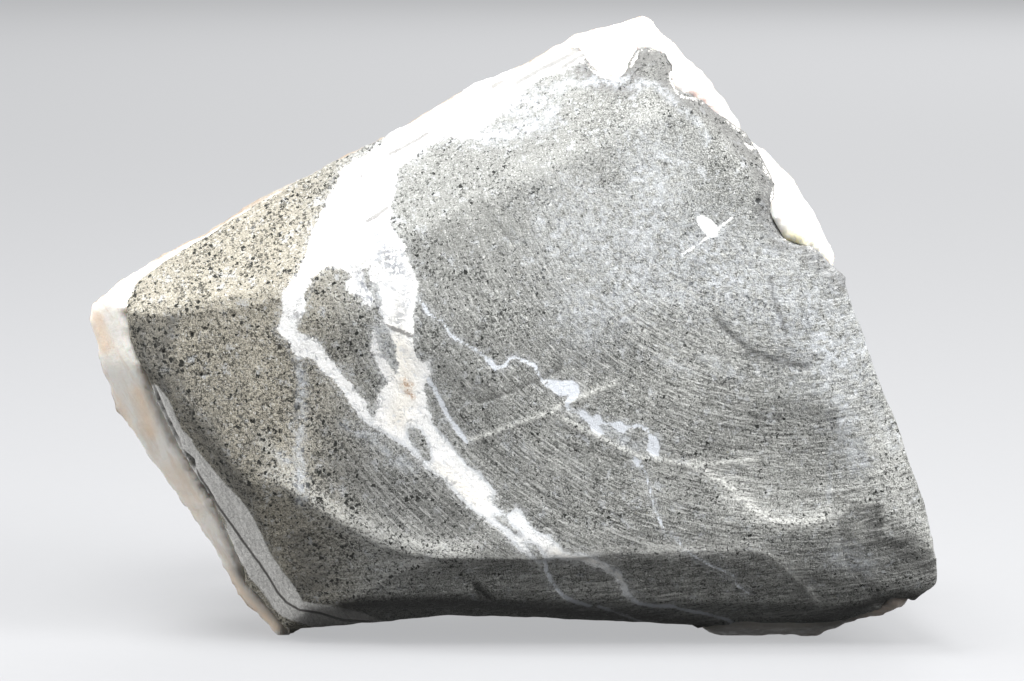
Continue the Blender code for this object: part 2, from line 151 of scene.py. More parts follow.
# Thin veins: half width and course
THIN_VEINS = [
    (2.4, [(427, 378), (434, 388), (442, 404), (450, 420), (458, 430), (467, 442)]),
    (1.3, [(418, 297), (428, 313), (442, 321), (447, 327), (450, 335), (457, 339)]),
    (1.0, [(457, 339), (466, 344), (473, 348), (479, 352), (485, 356)]),
    (1.6, [(497, 368), (505, 366), (509, 359), (515, 357), (525, 361), (535, 366), (539, 376), (547, 386)]),
    (1.2, [(568, 404), (571, 411), (578, 413)]), (1.2, [(625, 428), (639, 425), (648, 430)]),
    (1.1, [(642, 466), (646, 473), (651, 492), (654, 507), (660, 520), (663, 529)]),
    (0.9, [(671, 535), (677, 538), (681, 545), (691, 554), (708, 564), (733, 575), (737, 585), (749, 594)]),
    (2.0, [(633, 600), (640, 604), (655, 606), (672, 606)]),
    (1.5, [(672, 606), (689, 611), (701, 613), (722, 618), (738, 623)]),
    (1.9, [(545, 560), (546, 570), (551, 580), (559, 591), (568, 599), (580, 603), (590, 606)]),
    (1.0, [(598, 606), (613, 611), (626, 616), (641, 622), (655, 628)]),
    (1.1, [(462, 138), (478, 136), (506, 134)]), (1.0, [(731, 218), (715, 232), (700, 243), (682, 254)]),
    (1.1, [(414, 337), (400, 331), (388, 328)]),
]
# Grooves that more than one of the lists below follow
SCOOP_GROOVE = [(716, 318), (732, 335), (750, 350), (778, 362), (808, 367)]
CROSS_GROOVE = [(770, 279), (774, 300), (781, 318), (786, 334)]
LONG_GROOVE = [(480, 402), (493, 398), (515, 390), (537, 381), (560, 369)]
# Milky clouds in the grey, and broad painted light over the upper right: radius, strength and course
HAZE = [
    (9.0, 0.6, [(515, 110), (551, 104), (545, 122), (520, 130), (485, 138)]),
    (6.0, 0.6, [(506, 108), (529, 98), (551, 91), (573, 82), (591, 80), (640, 85)]),
    (4.0, 0.55, [(627, 79), (654, 85), (662, 90), (685, 112), (698, 123), (707, 138)]),
    (7.0, 0.55, [(378, 330), (384, 345), (388, 372)]),
    (6.0, 0.55, [(380, 300), (376, 285), (384, 262), (400, 250)]),
    (6.0, 0.6, [(299, 359), (303, 390), (300, 425), (297, 458), (302, 500)]),
    (4.0, 0.7, [(280, 455), (296, 466), (306, 478)]), (11.0, 0.8, [(804, 345), (822, 350), (844, 358)]),
    (7.0, 0.55, [(822, 360), (824, 378), (826, 392)]), (7.0, 0.25, [(866, 390), (880, 418), (893, 448)]),
    (2.0, 0.45, [(830, 447), (829, 502)]), (6.0, 0.5, [(345, 425), (372, 440), (396, 460), (414, 470)]),
    (38.0, 0.45, [(590, 310), (640, 275), (655, 170)]), (34.0, 0.5, [(790, 320), (830, 350)]),
    (15.0, 0.45, [(838, 400), (848, 430), (856, 462)]), (12.0, 0.45, [(836, 556), (866, 564)]),
    (7.0, 0.4, [(603, 428), (622, 438), (640, 446)]), (6.0, 0.4, [(705, 358), (722, 366), (740, 378)]),
    (5.0, 0.35, [(655, 355), (690, 372)]), (10.0, 0.5, [(640, 288), (660, 294), (690, 296)]),
    (55.0, 0.42, [(590, 235), (700, 255), (790, 300), (835, 345)]),
]
# Crushed white powder on the rims of the scoops, with painted highlight where the rims and the bright strip
# face the light, in the same form
POWDER = [
    (12.0, 0.65, [(275, 470), (300, 490), (326, 508), (352, 526), (385, 541), (420, 551), (470, 553)]),
    (7.0, 0.55, [(262, 440), (280, 462), (300, 482)]),
    (10.0, 0.18, [(700, 466), (728, 482), (754, 502), (780, 517), (806, 519), (828, 511)]),
    (12.0, 0.3, [(880, 432), (892, 470), (908, 510), (924, 540)]),
    (3.5, 0.3, [(600, 549), (660, 545), (720, 543), (752, 546)]),
    (6.0, 0.4, [(560, 556), (590, 556), (615, 560)]),
]
# Clouded, bluish grey places inside the white veins
CLOUDED = [
    (7.0, 0.9, [(360, 274), (366, 288), (374, 304)]), (6.5, 0.85, [(377, 312), (381, 334), (386, 354)]),
    (5.0, 0.8, [(366, 228), (370, 242), (384, 250), (396, 258)]),
    (5.0, 0.7, [(370, 256), (388, 264), (402, 270)]), (3.5, 0.7, [(386, 284), (396, 290), (405, 298)]),
    (3.0, 0.6, [(333, 227), (330, 240)]), (13.0, 0.85, [(374, 230), (388, 256), (398, 272)]),
    (8.0, 0.65, [(404, 290), (402, 310), (396, 326)]), (3.5, 0.6, [(396, 214), (392, 228), (398, 242)]),
    (4.0, 0.6, [(350, 190), (356, 178), (372, 168)]), (3.0, 0.6, [(420, 150), (440, 138), (462, 124)]),
]
# Darker places, mostly painted shade: in the scoops and grooves, on faces turned down, below the bright strip
# and beside the left crust; some are duller stone
DULL = [
    (9.0, 0.85, [(140, 326), (150, 372)]), (9.0, 0.9, [(172, 322), (157, 366), (166, 392)]),
    (18.0, 0.65, [(300, 545), (320, 575), (300, 590)]), (13.0, 0.8, [(206, 424), (226, 470), (246, 500)]),
    (9.0, 0.6, [(190, 395), (200, 440)]),
    (4.0, 0.5, SCOOP_GROOVE),
    (3.0, 0.42, CROSS_GROOVE),
    (7.0, 0.75, [(862, 514), (874, 524), (876, 540)]), (8.0, 0.8, [(900, 553), (918, 562), (934, 574)]),
    (12.0, 0.22, [(758, 352), (780, 362), (806, 362)]), (12.0, 0.45, [(650, 58), (655, 74)]),
    (9.0, 0.2, [(560, 118), (545, 128), (520, 150)]), (32.0, 0.8, [(345, 470), (395, 500), (450, 520)]),
    (26.0, 0.45, [(330, 430), (360, 470), (400, 505)]), (24.0, 0.24, [(515, 468), (560, 490)]),
    (15.0, 0.72, [(152, 332), (166, 374)]), (16.0, 0.2, [(255, 440), (268, 462)]),
    (12.0, 0.66, [(172, 372), (190, 412), (216, 458), (246, 508), (268, 560)]),
    (14.0, 0.35, [(470, 345), (540, 350), (600, 362)]), (12.0, 0.35, [(460, 390), (520, 380), (560, 372)]),
]
# Painted shade: along the foot, and in the grooves that the disc cut
SOOT = [
    (7.0, 0.9, [(345, 606), (440, 603), (480, 604), (560, 611), (650, 618), (705, 626)]),
    (6.0, 0.9, [(715, 629), (790, 628), (845, 613), (878, 600), (925, 599)]),
    (2.6, 0.62, SCOOP_GROOVE),
    (2.0, 0.45, [(741, 352), (760, 360), (786, 358)]),
    (1.8, 0.5, CROSS_GROOVE),
    (1.6, 0.5, LONG_GROOVE),
    (1.6, 0.5, [(832, 495), (848, 501), (866, 507), (882, 505)]),
    (2.0, 0.4, [(470, 200), (488, 216), (510, 240)]), (3.0, 0.85, [(474, 592), (481, 598), (488, 603)]),
]
# Faces with a crisp edge, with painted shade just inside it and a painted highlight just outside: the lower
# bevel, and the corner under the bright strip
SHADED = [
    [(355, 600), (385, 580), (430, 559), (480, 558), (590, 556), (690, 550), (745, 547), (768, 553),
     (790, 567), (806, 584), (818, 606), (760, 640), (355, 640)],
    [(883, 505), (883, 531), (897, 540), (936, 552), (960, 600), (880, 610), (846, 560), (836, 520),
     (850, 506), (866, 508)],
]
# Creamier stretches of the broad vein, and the rusty stains on it
CREAM = [
    (13.0, 1.0, [(398, 345), (405, 372), (404, 398), (398, 418)]), (10.0, 0.6, [(396, 300), (398, 330)]),
    (9.0, 0.8, [(440, 470), (466, 492), (486, 507)]), (8.0, 0.7, [(558, 553), (598, 566), (618, 578)]),
    (8.0, 0.5, [(430, 118), (470, 95), (500, 85)]),
]
STAINS = [
    (3.0, 1.0, [(404, 384), (412, 386)]), (2.6, 1.0, [(407, 391), (413, 397)]),
    (2.2, 0.8, [(403, 379), (406, 380)]),
]
# Dark dashes in the white: half width and course
GREY_DASHES = [
    (2.0, [(493, 86), (502, 81)]), (2.2, [(517, 83), (540, 69), (560, 60), (580, 49)]),
    (1.8, [(562, 67), (595, 48)]), (1.6, [(428, 133), (416, 140), (402, 148), (390, 154)]),
    (1.5, [(361, 176), (362, 178)]), (2.0, [(367, 221), (376, 216), (387, 208)]),
    (2.0, [(378, 323), (400, 331), (414, 337)]), (1.6, [(603, 58), (604, 60)]),
]
# The grey-white seam beside the left crust, its dark parting, and the open crack under the crust's lip
SEAM = [
    (158, 386), (167, 397), (182, 430), (192, 440), (199, 453), (212, 468), (225, 483), (240, 499),
    (250, 512), (260, 531), (270, 553), (283, 572), (294, 587), (303, 602), (320, 604), (342, 608),
    (364, 613), (379, 620), (400, 624), (379, 626), (364, 630), (342, 632), (316, 628), (290, 620),
    (283, 617), (273, 607), (264, 594), (251, 579), (240, 561), (229, 533), (225, 520), (212, 499),
    (203, 490), (192, 481), (190, 462), (179, 453), (174, 440), (163, 418), (149, 386),
]
PARTING = [
    (196, 470), (210, 494), (220, 509), (233, 527), (246, 546), (260, 564), (270, 579), (277, 592),
    (286, 602), (299, 610), (320, 613), (342, 620), (370, 622),
]
CRACK = [
    (147, 380), (149, 386), (163, 418), (174, 440), (179, 453), (190, 462), (192, 481), (203, 490),
    (209, 499), (210, 512), (215, 527), (222, 542), (231, 558), (238, 570), (233, 576),
]
# The stone's own edge at the upper right, where a darker skin and ragged spots of crust follow it
CRUST_EDGE = [
    (580, 60), (600, 76), (625, 82), (638, 52), (646, 49), (667, 54), (674, 66), (670, 76), (675, 90),
    (682, 96), (700, 100), (717, 110), (726, 122), (744, 134), (743, 142), (756, 151), (763, 163),
    (763, 170), (773, 184), (772, 203), (770, 212), (779, 223), (785, 239), (802, 236), (809, 242),
    (810, 247), (828, 261), (842, 277),
]
# Ridges that the disc left between its passes: height in millimetres, half width in pixels and course
LEFT_RIDGE = [(131, 313), (165, 316), (223, 311), (261, 305), (281, 297)]
UPPER_RIDGE = [(455, 212), (479, 194), (506, 182), (546, 161), (562, 143), (566, 132), (584, 123), (607, 115),
               (629, 105)]
BURRS = [
    (0.16, 1.7, [(467, 442), (497, 432), (527, 420), (553, 412), (560, 406), (584, 396), (615, 383)]),
    (0.16, 1.7, [(553, 415), (568, 422), (584, 431), (600, 438), (615, 446), (640, 457), (660, 461)]),
    (0.14, 1.8, [(660, 461), (681, 464), (701, 465), (722, 463), (742, 461), (756, 459)]),
    (0.08, 2.2, [(283, 486), (309, 502), (331, 517), (355, 532), (385, 547), (412, 554), (440, 558),
       (480, 559), (540, 558), (590, 556)]),
    (0.08, 2.4, [(640, 553), (690, 551), (752, 550), (771, 557), (783, 567), (801, 584), (815, 600)]),
    (0.14, 4.0, [(691, 467), (722, 482), (754, 510), (771, 521), (803, 524), (824, 520)]),
    (0.1, 2.0, LEFT_RIDGE),
    (0.1, 2.2, UPPER_RIDGE),
    (0.1, 2.0, [(830, 495), (848, 501), (866, 506), (882, 503)]),
    (0.07, 1.6, [(526, 287), (545, 297), (563, 307), (573, 313)]), (0.06, 1.6, [(681, 262), (706, 254)]),
]
POWDERED_BURRS = 6  # the first of them carry white powder and a painted highlight, spread wider than the ridge
POWDER_SPREAD, POWDER_PER_MM = 1.5, 6.5
# Grooves that it cut: depth in millimetres, half width in pixels and course
GROOVES = [
    (0.16, 3.0, [(475, 199), (495, 222), (515, 245)]),
    (0.13, 3.6, [(709, 307), (722, 324), (732, 335), (745, 346), (758, 354), (774, 361), (791, 365),
       (811, 367)]),
    (0.12, 2.6, CROSS_GROOVE),
    (0.16, 1.6, LONG_GROOVE),
    (0.14, 2.4, [(600, 356), (620, 372), (636, 386)]), (0.4, 3.0, [(474, 586), (480, 592), (487, 597)]),
]
# Holes big enough to see into: pixel place and radius in pixels
HOLES = [
    (198, 302, 2.0), (233, 316, 2.0), (192, 335, 2.2), (205, 329, 1.8), (279, 348, 2.2), (201, 375, 2.0),
    (758, 201, 2.6), (400, 527, 1.8), (272, 438, 1.6), (263, 405, 1.6), (251, 421, 1.5), (163, 352, 1.6),
]
# The disc swept round a centre at the upper right, and straight along the facets under the lower ridge
SWEEP_CENTRE = (790.0, 110.0)
SWEEP_RADIUS = 320.0
SWEEP_SLOPE = 0.12
PASS_WIDTH, PASS_LENGTH = 13.0, 150.0
LOWER_RIDGE = [
    (240, 440), (283, 476), (309, 500), (331, 515), (364, 534), (400, 551), (480, 558), (590, 556),
    (690, 547), (752, 548), (771, 557), (783, 567), (815, 600), (960, 640), (960, 720), (200, 720),
]
# Edges that stay crisp where the facets between them are worn together
CRISP = [
    LEFT_RIDGE + UPPER_RIDGE,
    [(262, 478), (283, 486), (309, 502), (331, 517), (355, 533), (385, 549), (440, 560), (480, 561),
     (590, 558), (690, 552), (752, 551), (815, 600)],
    [(830, 495), (866, 506), (882, 503), (883, 531), (897, 540), (934, 551)],
]


def copy_of(node_name, piece_name):
    """A copy of a CAD node with a mesh of its own, its loose triangles merged."""
    bpy.ops.object.select_all(action="DESELECT")
    piece = bpy.data.objects.new(piece_name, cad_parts[node_name].data.copy())
    piece.data.name = piece_name
    piece.data.materials.clear()
    bpy.context.scene.collection.objects.link(piece)
    bpy.context.view_layer.objects.active = piece
    piece.select_set(True)
    bpy.ops.object.mode_set(mode="EDIT")
    bpy.ops.mesh.select_all(action="SELECT")
    bpy.ops.mesh.remove_doubles(threshold=1e-6)
    bpy.ops.object.mode_set(mode="OBJECT")
    return piece


def finish_with(piece, kind, **values):
    """Adds a modifier to the piece, sets it and applies it."""
    mod = piece.modifiers.new(kind.lower(), kind)
    for name, value in values.items():
        setattr(mod, name, value)
    bpy.context.view_layer.objects.active = piece
    bpy.ops.object.modifier_apply(modifier=mod.name)


def soften(piece, passes, **values):
    """Smooths the piece; each pass moves a point half of the way to the middle of its neighbours."""
    finish_with(piece, "SMOOTH", factor=0.5, iterations=passes, **values)


def weigh(piece, name, weights, steps=8):
    """Makes a vertex group from weights between 0 and 1, in steps."""
    group = piece.vertex_groups.new(name=name)
    for level in range(1, steps + 1):
        chosen = np.nonzero(np.rint(weights * steps) == level)[0]
        group.add(chosen.tolist(), level / steps, "REPLACE")


def corners(piece, what="co"):
    """The mesh's points, or their normals, as an array of rows."""
    rows = np.empty(len(piece.data.vertices) * 3, np.float32)
    source = piece.data.vertices if what == "co" else piece.data.vertex_normals
    source.foreach_get(what, rows)
    return rows.reshape(-1, 3).astype(float)


def move_corners(piece, places):
    """Sets the mesh's points."""
    piece.data.vertices.foreach_set("co", places.astype(np.float32).ravel())
    piece.data.update()


def keep_values(piece, **values):
    """Stores numbers for each point of the mesh, for the material to read by name."""
    for name, numbers in values.items():
        layer = piece.data.attributes.new(name, "FLOAT", "POINT")
        layer.data.foreach_set("value", numbers.astype(np.float32))


def ramp(values, start, length):
    """A straight rise from 0 to 1 that begins at start; it falls away where length is less than nothing."""
    return np.clip((values - start) / length, 0.0, 1.0)


def to_line(spots, line, closed=False):
    """How far each spot is from a line, in pixels."""
    nearest = np.full(len(spots), 1e6)
    for (x0, y0), (x1, y1) in zip(line, line[1:] + line[:1] if closed else line[1:]):
        off = spots - (x0, y0)
        run = np.array((x1 - x0, y1 - y0), float)
        share = np.clip(off @ run / max(run @ run, 1e-9), 0.0, 1.0)
        nearest = np.minimum(nearest, np.hypot(*(off - share[:, None] * run).T))
    return nearest


def to_patch(spots, outline):
    """How far each spot is from a closed outline, in pixels, and less than nothing inside it."""
    within = np.zeros(len(spots), bool)
    for (x0, y0), (x1, y1) in zip(outline, outline[1:] + outline[:1]):
        if y0 != y1:
            crosses = (spots[:, 1] < y0) != (spots[:, 1] < y1)
            within ^= crosses & (spots[:, 0] < x0 + (spots[:, 1] - y0) / (y1 - y0) * (x1 - x0))
    away = to_line(spots, outline, closed=True)
    return np.where(within, -away, away)


def soft(away, half_width):
    """1 where a distance is nothing, falling softly to 0 with it."""
    return np.exp(-(away / half_width) ** 2)


def soft_mask(spots, strokes):
    """Soft strokes of given radius and strength, from 0 to 1."""
    mask = np.zeros(len(spots))
    for radius, strength, line in strokes:
        mask = np.maximum(mask, strength * soft(to_line(spots, line), radius))
    return mask


def nearest_of(distances):
    """The least of several distances at each spot, and no more than FAR_OFF pixels."""
    return np.minimum(np.min(distances, axis=0), FAR_OFF)


def unevenness(places, size, octaves=3, seed=0.0):
    """Smooth noise at each place, about -1 to 1, with swells of a size in metres."""
    shift = Vector((seed, seed * 1.7, -seed))
    return np.array([noise.fractal(Vector(place) / size + shift, 1.0, 2.0, octaves) for place in places])


def roughness(places, layers):
    """Layers of unevenness added up, each a depth, a size, octaves and a seed."""
    return sum(depth * unevenness(places, size, octaves, seed) for depth, size, octaves, seed in layers)


def surface_of(node_name):
    """A CAD node's surface, for finding the place on it nearest to a point."""
    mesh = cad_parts[node_name].data
    points = [vert.co for vert in mesh.vertices]
    return BVHTree.FromPolygons(points, [face.vertices for face in mesh.polygons])


def nearest_on(surface, places):
    """The point of a surface nearest to each place, and how far off it is, up to NEAR_BY."""
    hits = [surface.find_nearest(Vector(place), NEAR_BY) for place in places]
    points = np.array([place if hit[0] is None else hit[0] for hit, place in zip(hits, places)])
    return points, np.array([hit[3] or NEAR_BY for hit in hits])


basalt = copy_of("basalt_matrix", "basalt_block")
finish_with(basalt, "REMESH", mode="VOXEL", voxel_size=STONE_VOXEL)
soften(basalt, STONE_SOFTENING)

bpy.ops.object.mode_set(mode="EDIT")
bpy.ops.mesh.select_all(action="DESELECT")
bpy.ops.object.mode_set(mode="OBJECT")
facing = np.empty(len(basalt.data.polygons) * 3, np.float32)
basalt.data.polygons.foreach_get("normal", facing)
seen_square = facing.reshape(-1, 3) @ np.array((0.0, -math.cos(CAMERA_PITCH), math.sin(CAMERA_PITCH)))
basalt.data.polygons.foreach_set("select", seen_square > SEEN_LIMIT)
bpy.context.tool_settings.mesh_select_mode = (False, False, True)
bpy.ops.object.mode_set(mode="EDIT")
bpy.ops.mesh.subdivide(number_cuts=1)
bpy.ops.object.mode_set(mode="OBJECT")

# the facets worn together between their crisp edges
spots = picture_spots(corners(basalt))
front = ramp(corners(basalt, "vector") @ FRONT_WAY, FRONT_FROM, FRONT_RISE)
worn = ramp(front, *WORN_FRONT)
for line in CRISP:
    worn *= ramp(to_line(spots, line), *CRISP_REACH)
weigh(basalt, "worn", worn)
soften(basalt, WEAR_PASSES, use_x=False, use_z=False, vertex_group="worn")
places = corners(basalt)
outward = corners(basalt, "vector")

# the passes of the disc
below_ridge = to_patch(spots, LOWER_RIDGE) < 0.0
off_centre = spots - SWEEP_CENTRE
sweep = np.where(below_ridge, spots[:, 1] + SWEEP_SLOPE * spots[:, 0], np.hypot(*off_centre.T))
along = np.where(below_ridge, spots[:, 0], np.arctan2(off_centre[:, 1], off_centre[:, 0]) * SWEEP_RADIUS)
passes = unevenness(np.column_stack((sweep / PASS_WIDTH, along / PASS_LENGTH, sweep * 0.0)), 1.0, 2, 2.0)

# the relief in millimetres: swells, ridges, grooves, holes and the crack on the front, and rough sides
sides = 1.0 - front
relief = roughness(places, FRONT_ROUGHNESS) + PASS_DEPTH * front * passes
relief += sides * roughness(places, SIDE_ROUGHNESS)
for height, half_width, line in BURRS:
    relief += front * height * soft(to_line(spots, line), half_width)
for depth, half_width, line in GROOVES:
    relief -= front * depth * soft(to_line(spots, line), half_width)
for *spot, radius in HOLES:
    relief -= front * HOLE_DEPTH * soft(np.hypot(*(spots - spot).T), radius)
to_crack = to_line(spots, CRACK)
relief -= front * CRACK_DEPTH * soft(to_crack, CRACK_HALF_WIDTH)

# beside the crust the relief gives way, and the stone's edge bites a little into it
crust_surface = surface_of("stilbite_crust")
to_crust = nearest_on(crust_surface, places)[1]
contact = ramp(to_crust, *CONTACT)
grown_on = contact * sides * ramp(to_crack, *CRACK_REACH)
bite = np.clip(BITE + roughness(places, BITE_ROUGHNESS), *BITE_LIMITS)
move_corners(basalt, places + outward * ((relief * (1.0 - contact * sides) + bite * grown_on) * MM)[:, None])

vein = to_patch(spots, WHITE_VEIN)
for island in ISLANDS:
    vein = np.maximum(vein, -to_patch(spots, island))
thin = [to_patch(spots, blot) for blot in BLOTS]
thin += [to_line(spots, line) - half_width for half_width, line in THIN_VEINS]
dashes = [to_line(spots, line) - half_width for half_width, line in GREY_DASHES]
holes = [np.hypot(*(spots - spot).T) - radius for *spot, radius in HOLES]
burrs = [(half_width * POWDER_SPREAD, min(height * POWDER_PER_MM, 1.0), line)
         for height, half_width, line in BURRS[:POWDERED_BURRS]]
keep_values(
    basalt, front=front, across=spots[:, 0], down=spots[:, 1], sweep=sweep, along=along, vein=vein,
    thin=nearest_of(thin), dashes=nearest_of(dashes), holes=nearest_of(holes), haze=soft_mask(spots, HAZE),
    cream=soft_mask(spots, CREAM), dull=soft_mask(spots, DULL), clouded=soft_mask(spots, CLOUDED),
    stains=soft_mask(spots, STAINS), soot=soft_mask(spots, SOOT), burrs=soft_mask(spots, burrs + POWDER),
    shaded=np.min([to_patch(spots, face) for face in SHADED], axis=0), seam=to_patch(spots, SEAM),
    parting=to_line(spots, PARTING), crack=to_crack, skin=to_line(spots, CRUST_EDGE))
basalt.data.shade_smooth()


def feed(socket, value):
    """Gives a socket a plain value, or links another socket to it."""
    if isinstance(value, bpy.types.NodeSocket):
        socket.id_data.links.new(value, socket)
    elif socket.type == "RGBA":
        socket.default_value = (*value, 1.0)
    else:
        socket.default_value = value


def feed_all(inputs, feeds):
    """Feeds a node's inputs, named or numbered."""
    for where, value in dict(feeds).items():
        feed(inputs[where], value)


def put(tree, kind, feeds=(), **settings):
    """Adds a shader node, sets its properties and feeds its inputs."""
    made = tree.nodes.new(kind)
    for name, value in settings.items():
        setattr(made, name, value)
    feed_all(made.inputs, feeds)
    return made


def tree_of(values):
    """The node tree of the first socket among some values."""
    return next(value.id_data for value in values if isinstance(value, bpy.types.NodeSocket))


def calc(operation, *values):
    """One step of arithmetic on numbers."""
    return put(tree_of(values), "ShaderNodeMath", enumerate(values), operation=operation).outputs[0]


def times(first, *others):
    """Numbers multiplied together."""
    for other in others:
        first = calc("MULTIPLY", first, other)
    return first


def weighed(first, *others):
    """A sum of numbers, each given with its weight."""
    total = times(*first)
    for value, weight in others:
        total = calc("MULTIPLY_ADD", value, weight, total)
    return total


def rise(value, low, high, bottom=0.0, top=1.0):
    """A smooth rise from bottom to top as the value goes from low to high."""
    feeds = {"Value": value, "From Min": low, "From Max": high, "To Min": bottom, "To Max": top}
    return put(value.id_data, "ShaderNodeMapRange", feeds, interpolation_type="SMOOTHSTEP").outputs[0]


def tint(share, first, second, blend="MIX"):
    """One colour laid over another by a share."""
    return put(share.id_data, "ShaderNodeMix", {0: share, 6: first, 7: second}, data_type="RGBA",
               blend_type=blend).outputs[2]


def coats(colour, *layers):
    """A colour with coats laid over it in turn, each a share and a colour."""
    for share, coat in layers:
        colour = tint(share, colour, coat)
    return colour


def grains(where, scale, detail=2.0, roughness=0.5, distortion=0.0):
    """Noise of about scale grains to the millimetre, near 0.5 on average."""
    feeds = {"Vector": where, "Scale": scale, "Detail": detail, "Roughness": roughness,
             "Distortion": distortion}
    return put(where.id_data, "ShaderNodeTexNoise", feeds).outputs[0]


def cells_of(where, scale, pick):
    """Cells about 1 / scale mm wide: the distance to the middle of each, and a number picked for it."""
    cells = put(where.id_data, "ShaderNodeTexVoronoi", {"Vector": where, "Scale": scale, "Randomness": 1.0})
    colour = put(where.id_data, "ShaderNodeSeparateColor", {0: cells.outputs["Color"]})
    return cells.outputs["Distance"], colour.outputs[pick]


def place_of(*parts):
    """A place to read a pattern at, from two or three numbers."""
    return put(tree_of(parts), "ShaderNodeCombineXYZ", enumerate(parts)).outputs[0]


def stored(tree, *names):
    """Numbers kept on the mesh's points: one, or a list of several."""
    found = [put(tree, "ShaderNodeAttribute", attribute_name=name).outputs["Fac"] for name in names]
    return found if len(found) > 1 else found[0]


def raised(height, strength, distance=MM):
    """The surface's normals, turned as a relief of some height would turn them."""
    feeds = {"Strength": strength, "Distance": distance, "Height": height}
    return put(height.id_data, "ShaderNodeBump", feeds).outputs[0]


def new_material(name):
    """A material: it gives the material, its node tree, its shader's inputs and places in millimetres."""
    made = bpy.data.materials.new(name)
    made.use_nodes = True
    tree = made.node_tree
    local = put(tree, "ShaderNodeTexCoord").outputs["Object"]
    where = put(tree, "ShaderNodeVectorMath", {0: local, "Scale": 1.0 / MM}, operation="SCALE").outputs[0]
    return made, tree, tree.nodes["Principled BSDF"].inputs, where


def new_group(name, inputs, outputs):
    """An empty shader node group. Its sockets are numbers, apart from the vectors Where and Stretch."""
    group = bpy.data.node_groups.new(name, "ShaderNodeTree")
    for way, labels in (("INPUT", inputs), ("OUTPUT", outputs)):
        for label in labels:
            kind = "NodeSocketVector" if label in ("Where", "Stretch") else "NodeSocketFloat"
            group.interface.new_socket(label, in_out=way, socket_type=kind)
    return group, group.nodes.new("NodeGroupInput").outputs, group.nodes.new("NodeGroupOutput").inputs


def use_group(group, **feeds):
    """Places a shader node group among the nodes that feed it; gives its outputs."""
    return put(tree_of(feeds.values()), "ShaderNodeGroup", node_tree=group, feeds=feeds).outputs


# A mineral boundary: a drawn distance made ragged by noise, with a soft cloud outside it
ragged, given, gives = new_group(
    "ragged_boundary", ("Where", "Distance", "Coarse", "Fine", "Softness"), ("Mask", "Cloud"))
coarse_push = times(calc("SUBTRACT", grains(given["Where"], 0.55, 3.0), 0.5), given["Coarse"])
fine_push = times(calc("SUBTRACT", grains(given["Where"], 3.4, 3.0, 0.65), 0.5), given["Fine"])
pushed = calc("ADD", calc("ADD", given["Distance"], coarse_push), fine_push)
cloud_grain = rise(grains(given["Where"], 1.5, 4.0, 0.7), 0.42, 0.66)
feed(gives["Mask"], rise(pushed, given["Softness"], times(given["Softness"], -1.0)))
feed(gives["Cloud"], times(cloud_grain, rise(pushed, 9.0, 0.0)))

# Fine grain, shared by the stone and the crust: salt and pepper, patches and slow drifts of tone
grain, given, gives = new_group("mineral_grain", ("Where",), ("Pepper", "Patches", "Drift"))
feed(gives["Pepper"], rise(grains(given["Where"], 4.6, 3.0, 0.75), 0.38, 0.62))
feed(gives["Patches"], rise(grains(given["Where"], 1.25, 4.0, 0.62), 0.30, 0.70))
feed(gives["Drift"], rise(grains(given["Where"], 0.10, 3.0, 0.55), 0.25, 0.75))

stone, tree, inputs, where = new_material("basalt_ground")
pepper, patches, drift = use_group(grain, Where=where)
front_share, across, down, along, sweep = stored(tree, "front", "across", "down", "along", "sweep")

# the grey itself, warmer on the left, with pale fuzzy specks
shade = weighed((patches, 0.18), (pepper, 0.62), (drift, 0.20))
calm = times(rise(across, 640.0, 540.0, 0.0, 0.48), rise(down, 325.0, 285.0))
shade = calc("MULTIPLY_ADD", calc("SUBTRACT", 0.57, shade), calm, shade)
grey = tint(shade, (0.038, 0.041, 0.037), (0.485, 0.49, 0.465))
grey = tint(rise(across, 400.0, 270.0), grey, (1.24, 1.14, 0.99), "MULTIPLY")
fuzz = times(rise(grains(where, 0.55, 5.0, 0.78), 0.555, 0.65), 0.60)
sparks = rise(grains(where, 3.2, 2.0, 0.6), 0.60, 0.70, 0.0, 0.80)
rust = rise(grains(where, 1.7, 2.0, 0.5), 0.72, 0.80, 0.0, 0.55)

# a darker skin beside the crust, darker places that are mostly painted shade, and at the shaded faces' edges
# painted shade inside and a painted highlight outside
dull, skin, shaded = stored(tree, "dull", "skin", "shaded")
edge_run = calc("MULTIPLY_ADD", calc("SUBTRACT", patches, 0.5), 3.0, shaded)
inner_edge = times(rise(edge_run, 1.0, -1.0), rise(edge_run, -22.0, -2.0, 0.0, 0.34), front_share)
outer_edge = times(rise(edge_run, -1.0, 1.0), rise(edge_run, 11.0, 1.0, 0.0, 0.22), front_share)

# lines of the grinding disc
strokes = grains(place_of(times(along, 0.011), times(sweep, 0.27)), 1.0, 1.6, 0.55)
stroke_place = times(rise(down, 110.0, 330.0, 0.15, 1.0), rise(across, 250.0, 480.0, 0.25, 1.0))
stroke_share = times(rise(grains(where, 0.060, 2.0), 0.34, 0.60), front_share, stroke_place)
scratches = grains(place_of(times(along, 0.075), times(sweep, 0.46), 7.0), 1.0, 2.0, 0.6)
scratch_place = times(rise(across, 300.0, 560.0, 0.25, 1.0), rise(down, 120.0, 320.0, 0.15, 1.0))
scratch_share = times(front_share, scratch_place)

# crushed white powder with painted highlight along the ridges between passes and on the scoops' rims
powder_grain = rise(grains(where, 2.6, 3.0, 0.7), 0.34, 0.60)
powder = times(stored(tree, "burrs"), powder_grain, front_share, 0.75)
